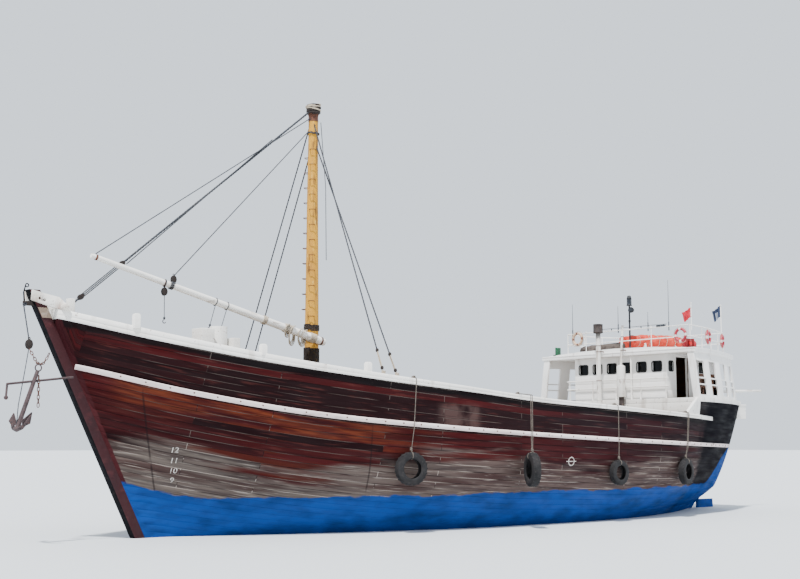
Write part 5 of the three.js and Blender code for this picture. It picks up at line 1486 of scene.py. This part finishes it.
for side in (1, -1):
    for fore, aft in ((-10.03, -10.73), (-11.21, -11.92), (-12.55, -13.28), (-13.85, -14.5)):
        for z in (4.5, 4.915, 5.165, 5.835):
            lean = (z - POOP_DECK) / (ROOF_LOW - POOP_DECK)
            y = [poop_edge(x) - 0.03 + (roof_edge(x) - poop_edge(x) - 0.01) * lean for x in (fore, aft)]
            section = ((SEAT, -0.014), (0.016, -0.014), (0.016, 0.014), (SEAT, 0.014))
            sills.append(skin([[(x, side * (edge + out), z + rise) for out, rise in section]
                               for x, edge in zip((fore, aft), y)]))
new_piece("gallery_sills", sills, [HOUSE_WHITE], eased=0.003)


# Exhausts
# Two steel funnels stand in front of the house. The main one carries a squat spark drum black with
# soot; the second is a thick lagged sleeve with a thin pipe up through it, leaning to port.
EXHAUST_X, MAIN_Y, SECOND_Y = -9.72, -0.66, 0.48


def smoked(name, base, low, high):
    """White enamel blackened by smoke between two heights."""
    material, tree, shader, where = new_finish(name, "white_metal")
    place = where.outputs["Object"]
    z = add(tree, "ShaderNodeSeparateXYZ", {"Vector": place}).outputs[2]
    coat = over(tree, patch(tree, place, (5, 5, 1.2), 4, 0.54, 0.7, 0.6), base, "#9a8570")
    coat = over(tree, patch(tree, place, (10, 10, 3), 4, 0.6, 0.7, 0.7), coat, "#6d402a")
    uneven = both(tree, z, patch(tree, place, (7, 7, 4), 4, 0.3, 0.7, 0.12), "ADD")
    coat = over(tree, between(tree, uneven, low, high, 0.9), coat, "#3d3735")
    feed(tree, shader, {"Base Color": coat, "Roughness": 0.7})
    return material


MAIN_FUNNEL = smoked("sooty_funnel_enamel", "#efece6", 6.75, 7.15)
DRUM_SOOT = coated("sooty_drum_iron", "white_metal", "#3b3331", [
    (6, 4, 0.5, 0.7, 0.6, "#191517"), ((11, 11, 4), 3, 0.58, 0.7, 0.5, "#6b5a50")], roughness=(0.7, 0.95))
funnel_foot = deck_at(EXHAUST_X) + 0.006
main = turned((EXHAUST_X, MAIN_Y, 0), UP, [
    (0.095, funnel_foot), (0.095, 4.4), (0.104, 4.402), (0.104, 4.43), (0.095, 4.432), (0.095, 6.02),
    (0.103, 6.022), (0.103, 6.05), (0.095, 6.052), (0.095, 7.12), (0.07, 7.125)], 36)
new_piece("main_funnel", [main], [MAIN_FUNNEL], smooth=50, stands_for="exhaust_main")
spark_drum = turned((EXHAUST_X, MAIN_Y, 0), UP, [
    (0.09, 7.09), (0.17, 7.105), (0.2, 7.13), (0.203, 7.16), (0.196, 7.18), (0.19, 7.42), (0.196, 7.44),
    (0.194, 7.47), (0.15, 7.48), (0.145, 7.36), (0.0001, 7.35)], 36)
new_piece("spark_drum", [spark_drum], [DRUM_SOOT], smooth=40)
sleeve = turned((EXHAUST_X, SECOND_Y, 0), UP, [
    (0.105, funnel_foot), (0.105, 4.5), (0.158, 4.504), (0.165, 4.52), (0.165, 5.2), (0.172, 5.202),
    (0.172, 5.24), (0.165, 5.242), (0.165, 5.7), (0.158, 5.73), (0.1, 5.755), (0.05, 5.765)], 36)
thin = tube([(EXHAUST_X, SECOND_Y, 5.7), (EXHAUST_X, SECOND_Y + 0.12, 7.34)], 0.045, 24)
LAGGED_FUNNEL = smoked("lagged_funnel_enamel", "#f1efea", 7.1, 7.5)
second = new_piece("second_funnel", [sleeve, thin], [LAGGED_FUNNEL, DRUM_SOOT], smooth=50,
                   stands_for="exhaust_second")
second.data.polygons.foreach_set("material_index", [
    1 if face.center.z < 4.5 or face.normal.z < -0.9 else 0 for face in second.data.polygons])
clamps = [hoop((EXHAUST_X, MAIN_Y, z), UP, 0.1, 0.012, 30, 6) for z in (5.19, 6.36, 6.6)]
clamps += [hoop((EXHAUST_X, SECOND_Y + 0.12 * (z - 5.7) / 1.64, z), UP, 0.05, 0.01, 24, 6)
           for z in (6.35, 6.9)]
clamps += [block(-9.92, EXHAUST_X, y - 0.012, y + 0.012, 6.34, 6.38) for y in (-0.56, 0.58)]
new_piece("funnel_clamps", clamps, [RUST], smooth=50)


# Roof rail and aerials
# Bent steel pipe around the roof on flanged feet, painted white, with whip aerials and staffs
# clamped to it, and a flat iron bar across its fore end.
RAIL_RISE, RAIL_XS = 0.88, [-10.25, -11.4, -12.5, -13.6, -14.7]
AERIAL_DARK = coated("dark_aerial_sleeve", "black_paint", "#1c2128", [(9, "#5a6068")], roughness=(0.4, 0.6))


def rail_side(x):
    return roof_edge(x) - 0.35


def rail_at(x, side):
    """The starboard side rail stands further in at its fore end."""
    return side * (rail_side(x) - (0.7 * min(max((x + 12.5) / 2.25, 0), 1) if side < 0 else 0))


def rail_foot(x, side=1):
    return roof_high(x + 0.025, abs(rail_at(x, side)) - 0.025) + 0.0014


# columns: x, y, height above the rail, radius, whether it is a white staff
AERIALS = [(-10.253, -2.48, 1.21, 0.014, False), (-10.253, -0.05, 0.87, 0.014, False),
           (-10.253, 1.45, 0.54, 0.012, False), (-10.253, 2.46, 1.76, 0.012, False),
           (-10.39, rail_side(-10.39) + 0.006, 0.88, 0.018, True),
           (-14.703, rail_side(-14.703) - 0.06, 1.2, 0.02, True)]
rails, flanges, whips, staffs = [], [], [], []
for side in (1, -1):
    tops = []
    for x in RAIL_XS:
        y, base, head = rail_at(x, side), rail_foot(x, side), rail_foot(x)
        rails.append(tube([(x, y, base), (x, y, head + RAIL_RISE)], 0.022, 14))
        flanges.append(turned((x, y, base - 0.004), UP,
                              [(0.06, 0), (0.06, 0.01), (0.03, 0.014), (0.028, 0.03)], 20))
        tops.append((x, y, head))
    for level in (0.5, 1):
        rails.append(tube([(x, y, z + RAIL_RISE * level) for x, y, z in tops], 0.021, 14))
for x in (RAIL_XS[0], RAIL_XS[-1]):
    for level in (0.5, 1):
        z = rail_foot(x) + RAIL_RISE * level + 0.004
        rails.append(tube([(x, rail_at(x, -1), z), (x, rail_at(x, 1), z)], 0.019, 14))
for x, y, rise, radius, is_staff in AERIALS:
    z = roof_high(x, y) + RAIL_RISE
    if is_staff:
        staffs.append(turned((x, y, 0), UP, [
            (radius, z - 0.2), (radius, z + rise - 0.04), (radius * 1.7, z + rise - 0.03),
            (radius * 1.7, z + rise)], 14))
    else:
        whips.append(tube([(x, y, z - 0.2), (x, y, z + rise * 0.4), (x, y, z + rise)],
                          [radius, radius * 0.8, radius * 0.45], 10))
        whips.append(tube([(x, y, z - 0.22), (x, y, z + 0.12)], radius * 1.6, 10))
for y in (-1.1, -1.75, 1.6):
    rails.append(tube([(-10.25, y, roof_high(-10.25, y) - 0.002),
                       (-10.25, y, roof_high(-10.25, y) + RAIL_RISE)], 0.018, 12))
new_piece("roof_rail_pipes", [*rails, *flanges, *staffs], [PIPE_WHITE], smooth=50,
          stands_for="roof_rail")
bar_z = rail_foot(RAIL_XS[0]) + RAIL_RISE + 0.035
whips.append(block(-10.275, -10.235, -1.3, 2.35, bar_z + 0.06, bar_z + 0.075))
whips += [block(-10.262, -10.25, y - 0.02, y + 0.02, bar_z - 0.03, bar_z + 0.07)
          for y in (-1.25, -0.4, 1.1, 2.2)]
whips.append(block(-10.33, -10.23, 1.86, 2.26, bar_z - 0.02, bar_z + 0.05))
new_piece("whip_aerials", whips, [AERIAL_DARK], smooth=50)


# Life raft
# Packed in an orange canvas cover that sags between its lashings, on two wooden cradles. A heap of
# red lifejackets and an awning furled in its cloth lie on the roof before it.
ORANGE_CANVAS = coated("faded_orange_canvas", "orange_cover", "#c93522", [
    (1.6, 4, 0.48, 0.7, 0.6, "#d9604c"), (5, 4, 0.55, 0.7, 0.6, "#8f2417"),
    (12, 3, 0.62, 0.7, 0.4, "#e39a88")], roughness=(0.75, 0.95), grain=(60, 0.002))
RAFT_FORE, RAFT_AFT, RAFT_HALF, RAFT_RISE = -10.7, -13.1, 0.52, 0.56


def raft_y(x):
    return 0.44 * (RAFT_FORE - x) - 0.1


raft_rings, lashings = [], []
for i in range(61):
    t = i / 60
    x = RAFT_FORE + (RAFT_AFT - RAFT_FORE) * t
    full = 0.35 + 0.65 * math.sqrt(sin(pi * (0.05 + 0.9 * t)))
    pinch = 1 - 0.07 * math.exp(-((((t * 7) % 1) - 0.5) / 0.12) ** 2)
    ring = []
    for turn in around(40):
        c, s = cos(turn), sin(turn)
        over_y = math.copysign(abs(c) ** 0.75, c)
        up = 0.5 + 0.5 * math.copysign(abs(s) ** 0.8, s)
        # wrinkles of the canvas, drawn in towards each lashing
        fold = 0.022 * sin(5 * turn + 9 * t) * sin(23 * t + 2 * turn) + 0.012 * sin(11 * turn - 31 * t)
        sag = 0.05 * sin(pi * ((t * 7) % 1)) * max(s, 0)
        rise = RAFT_RISE * (0.6 + 0.4 * full) * pinch
        high = 0.06 + up * rise + (fold - sag * 0.4 + 0.01) * max(up - 0.15, 0)
        ring.append((x, raft_y(x) + over_y * RAFT_HALF * full * pinch * (1 - 0.1 * (1 - up)) + fold * c,
                     roof_high(x, raft_y(x)) + high))
    raft_rings.append(ring)
    if i in (8, 17, 26, 34, 43, 52):
        centre_y = raft_y(x)
        lashings.append(tube([(x, centre_y + (y - centre_y) * 1.02, z + 0.006) for _, y, z in ring
                              + ring[:1]], 0.011, 6))
raft = new_piece("life_raft_cover", [skin(raft_rings)], [ORANGE_CANVAS], smooth=70, stands_for="life_raft")
new_piece("life_raft_lashings", lashings, [PALE_ROPE], smooth=60)
cradles = []
for x in (-11.25, -12.5):
    y = raft_y(x)
    feet = [roof_high(x, y + reach) + 0.006 for reach in (-0.36, 0.36)]
    for reach, foot in zip((-0.36, 0.36), feet):
        cradles.append(block(x - 0.045, x + 0.045, y + reach - 0.05, y + reach + 0.05, foot, foot + 0.26))
    cradles.append(block(x - 0.05, x + 0.05, y - 0.4, y + 0.4, max(feet), max(feet) + 0.07))
new_piece("life_raft_cradles", cradles, [WHITE], eased=0.006)


def heap(middle, reach, profile, waves):
    """A soft bundle lying on the roof: rings of (share, rise), with folds."""
    rings = []
    for j, (share, rise) in enumerate(profile):
        ring = []
        for t in around(36):
            x, y = middle[0] + reach[0] * cos(t) * share, middle[1] + reach[1] * sin(t) * share
            fold = 0.02 * sin(waves * y + 7 * x + 4 * j) if j else 0
            ring.append((x, y, roof_high(middle[0] + reach[0], y) + 0.004 + rise + fold))
        rings.append(ring)
    return skin(rings)


JACKET_RED = coated("red_lifejacket_cloth", "red_cloth", "#b0202c", [(6, 3, 0.5, 0.65, 0.7, "#7c1420")],
                    roughness=(0.7, 0.9))
AWNING_BROWN = coated("grey_brown_awning_canvas", "orange_cover", "#5a504a", [
    (5, 4, 0.48, 0.66, 0.7, "#352d29"), ((12, 3, 12), 3, 0.58, 0.7, 0.5, "#7a7068")], roughness=(0.8, 0.95))
lifejackets = new_piece("lifejacket_bundle", [heap((-10.62, 3.13), (0.19, 0.3), [
    (0.85, 0.0), (1, 0.05), (1.05, 0.16), (0.9, 0.27), (0.5, 0.33)], 9)], [JACKET_RED], smooth=70)
awning = new_piece("furled_awning", [heap((-10.55, -1.15), (0.16, 1.2), [
    (0.96, 0.0), (1, 0.04), (1, 0.14), (0.97, 0.22), (0.8, 0.27)], 14)], [AWNING_BROWN], smooth=70)


# Lifebuoys
# Hard foam rings hung on the roof rail, two facing forward and two to port, each with a grab line
# through four bands. The one to starboard has faded to cream.
BUOY_RADIUS, BUOY_TUBE = 0.235, 0.055
BUOY_RED = coated("lifebuoy_red", "orange_ring", "#a92c3c", [(6, "#8f2636")], roughness=(0.4, 0.6))
BUOY_PALE = coated("lifebuoy_white", "orange_ring", "#e6d9d6", [(6, "#bfa8a4")], roughness=(0.4, 0.6))
BUOY_CREAM = coated("faded_lifebuoy_cream", "orange_ring", "#c9ab90", [(5, "#b38f78")], roughness=(0.5, 0.7))
BUOY_BROWN = coated("faded_lifebuoy_bands", "orange_ring", "#6e4434", [(5, "#7c4c3c")], roughness=(0.5, 0.7))


def buoy(node, centre, facing, ground, band):
    """A lifebuoy with four bands and a slack grab line."""
    corners, faces = hoop(centre, facing, BUOY_RADIUS, BUOY_TUBE, 48, 16)
    shades = [1 if (i // 16 % 12) in (5, 6, 7) else 0 for i in range(len(faces))]
    made = new_piece(f"{node}_ring", [(corners, faces)], [ground, band], smooth=60)
    made.data.polygons.foreach_set("material_index", shades)
    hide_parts(node)
    centre, facing = Vector(centre), Vector(facing).normalized()
    side = facing.orthogonal().normalized()
    up = facing.cross(side)
    path = []
    for t in around(48, 1):
        slack = 0.012 + 0.028 * abs(sin(2 * t - pi * 0.58))
        path.append(centre + (side * cos(t) + up * sin(t)) * (BUOY_RADIUS + BUOY_TUBE + slack))
    new_piece(f"{node}_grab_line", [tube(path, 0.008, 6)], [PALE_ROPE], smooth=60)


# columns: node, y of the centre, its height above the rail's foot, finishes
for node, y, rise, ground, band in (("lifebuoy_fore_starboard", -2.15, 0.66, BUOY_CREAM, BUOY_BROWN),
                                    ("lifebuoy_fore_port", 3.06, 0.5, BUOY_RED, BUOY_PALE)):
    buoy(node, (RAIL_XS[0] + BUOY_TUBE + 0.0194, y, rail_foot(RAIL_XS[0]) + rise), (1, 0, 0), ground, band)
for node, stretch in (("lifebuoy_side_fore", 1), ("lifebuoy_side_aft", 3)):
    fore, aft = RAIL_XS[stretch], RAIL_XS[stretch + 1]
    facing = Vector((rail_side(aft) - rail_side(fore), fore - aft, 0)).normalized()
    centre = Vector(((fore + aft) / 2, (rail_side(fore) + rail_side(aft)) / 2,
                     (rail_foot(fore) + rail_foot(aft)) / 2 + 0.52))
    buoy(node, centre + facing * (BUOY_TUBE + 0.0224), facing, BUOY_RED, BUOY_PALE)


# Lantern mast and side lamps
# A black iron pole on the roof with a round lantern at its head and a small searchlight below. The
# side lamps stand on boards at the roof's edge, red to port and green to starboard.
LANTERN_X, LANTERN_Y, LANTERN_TOP = -10.42, 0.4, 8.61
LAMP_BLACK = coated("black_lamp_enamel", "black_paint", "#0b0d13", [(8, 3, 0.5, 0.7, 0.4, "#1e222b")],
                    roughness=(0.4, 0.6))
LAMP_LENS = coated("smoked_lamp_lens", "glass", "#23282f", [(9, 3, 0.5, 0.7, 0.3, "#4a525c")],
                   roughness=(0.05, 0.15))
lantern_foot = roof_high(LANTERN_X, LANTERN_Y - 0.035) + SEAT
pole = gather(
    turned((LANTERN_X, LANTERN_Y, 0), UP, [
        (0.09, lantern_foot), (0.09, lantern_foot + 0.014), (0.035, lantern_foot + 0.02), (0.035, 8.11),
        (0.03, 8.18), (0.11, 8.185), (0.115, 8.21), (0.098, 8.225), (0.09, 8.24)], 28),
    turned((LANTERN_X, LANTERN_Y, 0), UP, [
        (0.088, 8.47), (0.1, 8.475), (0.1, 8.495), (0.082, 8.52), (0.078, 8.57), (0.05, 8.6),
        (0.012, LANTERN_TOP)], 28),
    *[tube([(LANTERN_X + 0.092 * cos(t), LANTERN_Y + 0.092 * sin(t), 8.22),
            (LANTERN_X + 0.092 * cos(t), LANTERN_Y + 0.092 * sin(t), 8.49)], 0.007, 6)
      for t in around(6)],
    turned((LANTERN_X + 0.02, LANTERN_Y + 0.13, 8.005), (1, 0.35, 0), [
        (0.03, -0.11), (0.07, -0.1), (0.1, -0.04), (0.115, 0.06), (0.118, 0.07), (0.118, 0.09),
        (0.105, 0.092)], 26),
    tube([(LANTERN_X, LANTERN_Y, 8.005), (LANTERN_X, LANTERN_Y + 0.09, 8.005)], 0.02, 10),
    tube([(LANTERN_X, LANTERN_Y, 7.53), (LANTERN_X, LANTERN_Y, 7.61)], 0.048, 20),
)
new_piece("lantern_pole", [pole], [LAMP_BLACK], smooth=50, stands_for="lantern_mast")
lens = gather(
    turned((LANTERN_X, LANTERN_Y, 0), UP, [
        (0.08, 8.235), (0.084, 8.27), (0.08, 8.305), (0.085, 8.35), (0.08, 8.395), (0.084, 8.44),
        (0.08, 8.475)], 28),
    turned((LANTERN_X + 0.02, LANTERN_Y + 0.13, 8.005), (1, 0.35, 0), [
        (0.1, 0.05), (0.1, 0.084), (0.05, 0.096)], 26))
new_piece("lantern_lens", [lens], [LAMP_LENS], smooth=60)
# columns: word, side, distance from the centreline, slot, colour, deeper colour
SIDE_LAMPS = [("port", 1, 3.56, "red_lamp", "#c11f22", "#7d1214"),
              ("starboard", -1, 3.18, "green_lamp", "#0e8a52", "#0a5a38")]
for word, side, reach, slot, colour, deeper in SIDE_LAMPS:
    x, y = -10.06, side * reach
    foot = roof_high(x + 0.16, abs(y) - 0.05) + SEAT
    lens_finish = coated(f"{word}_lamp_lens", slot, colour, [(9, deeper)], roughness=(0.1, 0.25))
    glass = turned((x, y + side * 0.04, foot + 0.075), UP, [
        (0.045, 0), (0.055, 0.01), (0.058, 0.05), (0.055, 0.09), (0.058, 0.12), (0.05, 0.15)], 24)
    new_piece(f"side_lamp_{word}_lens", [glass], [lens_finish], smooth=60, stands_for=f"lamp_{word}")
    board = gather(
        block(x - 0.16, x + 0.16, *sorted((y - side * 0.045, y - side * 0.015)), foot, foot + 0.33),
        block(x - 0.16, x - 0.13, *sorted((y - side * 0.015, y + side * 0.1)), foot, foot + 0.33),
        block(x - 0.13, x + 0.16, *sorted((y - side * 0.015, y + side * 0.1)), foot, foot + 0.03),
        turned((x, y + side * 0.04, foot + 0.03), UP, [
            (0.06, 0), (0.066, 0.01), (0.066, 0.04), (0.05, 0.045)], 24),
        turned((x, y + side * 0.04, foot + 0.225), UP, [
            (0.05, 0), (0.066, 0.005), (0.066, 0.02), (0.03, 0.05), (0.012, 0.06)], 24))
    new_piece(f"side_lamp_{word}_board", [board], [coated(f"{word}_lamp_board_paint", "black_paint", deeper, [
        (6, "#2a2a2a")], roughness=(0.5, 0.7))], eased=0.004, smooth=45)


# Flags
# Two small flags of thin bunting hang limp beside their staffs, in folds, the fore one plain red,
# the after one plain dark blue with a paler fly. Each is laced to its staff by two toggles.
FLAG_RED = coated("red_bunting", "red_cloth", "#c01f33", [(5, "#861423"), (9, 3, 0.6, 0.7, 0.5, "#e0596a")],
                  roughness=(0.8, 0.95))
FLAG_BLUE = coated("navy_bunting", "blue_cloth", "#22304c", [(5, "#151d31")], roughness=(0.8, 0.95))
FLAG_PALE = coated("pale_bunting", "blue_cloth", "#8d95a3", [(5, "#5f6778")], roughness=(0.8, 0.95))
FLAG_STEPS = 42


def flag(node, aerial, drop, wide, high, finishes, split):
    """Cloth hung from its upper corner: each row keeps its cut length in folds that deepen downwards."""
    x0, staff_y, rise, radius, _ = AERIALS[aerial]
    top = roof_high(x0, staff_y) + RAIL_RISE + rise - drop
    y0 = staff_y - radius * 1.1 - 0.006
    corners, shades = [], []
    step = 1.09 * wide / FLAG_STEPS
    columns = []
    for i in range(FLAG_STEPS + 1):
        u = i / FLAG_STEPS
        # heading of the cloth seen from above, folding to and fro away from the staff
        columns.append(0.25 + 1.32 * sin(2 * pi * (2.6 * u + 0.1)) * min(1, 0.35 + 3 * u))
    path, x, y = [(0.0, 0.0)], 0.0, 0.0
    for heading in columns[1:]:
        x, y = x + step * sin(heading), y + step * cos(heading)
        path.append((x, y))
    for j in range(FLAG_STEPS + 1):
        v = j / FLAG_STEPS
        for i, (px, py) in enumerate(path):
            u = i / FLAG_STEPS
            fall = 0.8 * u * (1 - 0.3 * u)
            narrow = 1 - 0.3 * v * u
            corners.append((x0 + px * narrow + 0.012 * sin(7 * v + 9 * u) * u, y0 - py * narrow,
                            top - v * high - fall * high * 0.9))
    faces = []
    for j in range(FLAG_STEPS):
        for i in range(FLAG_STEPS):
            a = j * (FLAG_STEPS + 1) + i
            faces.append((a, a + 1, a + FLAG_STEPS + 2, a + FLAG_STEPS + 1))
            shades.append(1 if split and 0.3 < i / FLAG_STEPS < 0.62 and j > FLAG_STEPS * 0.35 else 0)
    cloth = new_piece(f"{node}_bunting", [(corners, faces)], finishes, stands_for=node, shades=shades,
                      smooth=80)
    hem = cloth.modifiers.new("cloth", "SOLIDIFY")
    hem.thickness, hem.offset = 0.0012, 0
    toggles = [hoop((x0, staff_y, top - low), UP, radius * 1.25, 0.005, 16, 6) for low in (0.02, high - 0.03)]
    new_piece(f"{node}_toggles", toggles, [PALE_ROPE], smooth=60)


flag("flag_fore", 4, 0.2, 0.5, 0.38, [FLAG_RED], False)
flag("flag_aft", 5, 0.04, 0.5, 0.46, [FLAG_BLUE, FLAG_PALE], True)


# Stern box and spar
# A white boarded box with battens hangs outside the stern, and a tapered white spar, lashed to a
# post on the band, sticks out over it.
softened("stern_box", "stern_box_boards", [WHITE], 0.01)
battens = [block(-16.145, -15.5, y - 0.003, y + 0.003, 3.72, 4.23) for y in (1.247, 1.853)]
battens += [block(-16.146, -16.14, 1.25, 1.85, z - 0.03, z + 0.03) for z in (3.78, 4.17)]
new_piece("stern_box_battens", battens, [WHITE])
spar_run = Vector((-2.95, 0, 0.1))
spar = gather(
    turned((-14.9, 1.5, BAND_TOP + 0.42), spar_run, [
        (0.045, 0), (0.06, 0.012), (0.06, 0.3), (0.057, 1.5), (0.046, 2.93), (0.03, 2.951)], 28),
    turned((-15.42, 1.5, 0), UP, [(0.08, BAND_TOP + SEAT), (0.08, BAND_TOP + 0.015),
                                  (0.045, BAND_TOP + 0.02), (0.045, BAND_TOP + 0.43)], 26),
    hoop((-15.42, 1.5, BAND_TOP + 0.44), spar_run, 0.06, 0.014, 26, 8),
)
new_piece("stern_spar_and_post", [spar], [SPAR_WHITE], smooth=50, stands_for="stern_spar")


# Keel, rudder and propeller
# Below the water all is painted blue and scuffed to the wood. The rudder is a shaped plank blade
# strapped to its iron stock, and the propeller is cast bronze gone dull.
BOTTOM_BLUE = coated("blue_bottom_paint", "keel_blue", "#0a3f88", [
    ((1.2, 1.2, 3), 4, 0.45, 0.7, 0.6, "#0c284e"), (5, 4, 0.6, 0.7, 0.6, "#3a3a34")], roughness=(0.6, 0.85),
                    **{"Specular IOR Level": 0.15})
BRONZE = coated("dull_cast_bronze", "bronze", "#8a6a38", [(7, 4, 0.5, 0.7, 0.6, "#4f5a40")],
                roughness=(0.35, 0.6), Metallic=0.9)
softened("keel", "keel_timber", [BOTTOM_BLUE], 0.02)
softened("stern_post", "stern_post_timber", [BOTTOM_BLUE], 0.015)
rudder_low, rudder_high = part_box("rudder")
STOCK_X = -15.15
# columns: share of the chord, half thickness
BLADE = [(0.0, 0.058), (0.15, 0.06), (0.4, 0.054), (0.7, 0.036), (0.95, 0.016), (1.0, 0.008)]
blade = []
blade_low, blade_high = rudder_low[2] + 0.04, 0.35
for z in np.linspace(blade_low, blade_high, 14):
    chord = 1.25 * (1 - 0.15 * (z - blade_low) / (blade_high - blade_low))
    outline = [(STOCK_X - 0.03 - (chord - 0.03) * s, half) for s, half in BLADE]
    blade.append([(x, y, z) for x, y in outline] + [(x, -y, z) for x, y in outline[::-1]])
new_piece("rudder_blade", [skin(blade), turned((STOCK_X, 0, 0), UP, [
    (0.06, rudder_low[2]), (0.07, rudder_low[2] + 0.02), (0.07, rudder_high[2] - 0.01),
    (0.06, rudder_high[2])], 28)],
    [BOTTOM_BLUE], body="rudder", smooth=50, stands_for="rudder")
straps = []
for z in (-1.35, -0.75, -0.1):
    straps += [block(-16.0, STOCK_X, *span(side, 0.055, 0.067), z - 0.04, z + 0.04) for side in (1, -1)]
    straps.append(turned((STOCK_X, 0, z - 0.04), UP, [(0.078, 0), (0.078, 0.08)], 26))
new_piece("rudder_straps", straps, [RUST], body="rudder", eased=0.003)
SCREW_X, SCREW_Z, SCREW_TIP, HUB_AFT = -14.72, -0.78, 0.52, -14.87
blades = [turned((HUB_AFT, 0, SCREW_Z), (1, 0, 0), [
    (0.02, 0), (0.05, 0.012), (0.075, 0.05), (0.1, 0.12), (0.105, 0.2), (0.095, 0.3), (0.08, 0.4)], 30)]
for turn in (0, 120, 240):
    rings = []
    for share in np.linspace(0, 1, 12):
        radius = 0.07 + (SCREW_TIP - 0.075) * share
        wide = 0.15 * math.sqrt(max(1 - (2 * share - 0.9) ** 2 * 0.8, 0.02)) + 0.004
        pitch = radians(62 - 34 * share)
        thick = 0.022 * (1 - 0.75 * share)
        ring = []
        for t in around(16):
            chord, lift = wide * cos(t), thick * sin(t) * (1 - 0.3 * cos(t))
            along, across = chord * cos(pitch) - lift * sin(pitch), chord * sin(pitch) + lift * cos(pitch)
            bend = math.asin(max(-0.9, min(0.9, across / max(radius, 0.2))))
            angle = radians(turn) + bend
            ring.append((SCREW_X + along * 0.7, radius * sin(angle), SCREW_Z + radius * cos(angle)))
        rings.append(ring)
    blades.append(skin(rings))
new_piece("propeller_casting", blades, [BRONZE], body="propeller", smooth=50,
          stands_for="propeller")


# Floor and light
# A plain pale floor at the waterline, dull like paper. The light comes high from ahead under a
# wide bright sky.
floor_mesh = bpy.data.meshes.new("floor")
floor_mesh.from_pydata([(-400, -400, 0), (400, -400, 0), (400, 400, 0), (-400, 400, 0)], [], [(0, 1, 2, 3)])
floor_mesh.materials.append(coated("pale_floor", None, "#cdd1d4", [], roughness=(0.8, 0.85)))
put_in("floor", floor_mesh)

world = bpy.data.worlds.new("sky")
world.use_nodes = True
world.node_tree.nodes["Background"].inputs[0].default_value = linear("#dfe8f2")
world.node_tree.nodes["Background"].inputs[1].default_value = 1.6
bpy.context.scene.world = world
SUN_FROM = Vector((0.42, 0.25, 1.0))
sun = put_in("sun", bpy.data.lights.new("sun", "SUN"))
sun.data.energy, sun.data.angle = 7.0, radians(3)
sun.rotation_mode = "QUATERNION"
sun.rotation_quaternion = SUN_FROM.to_track_quat("Z", "Y")
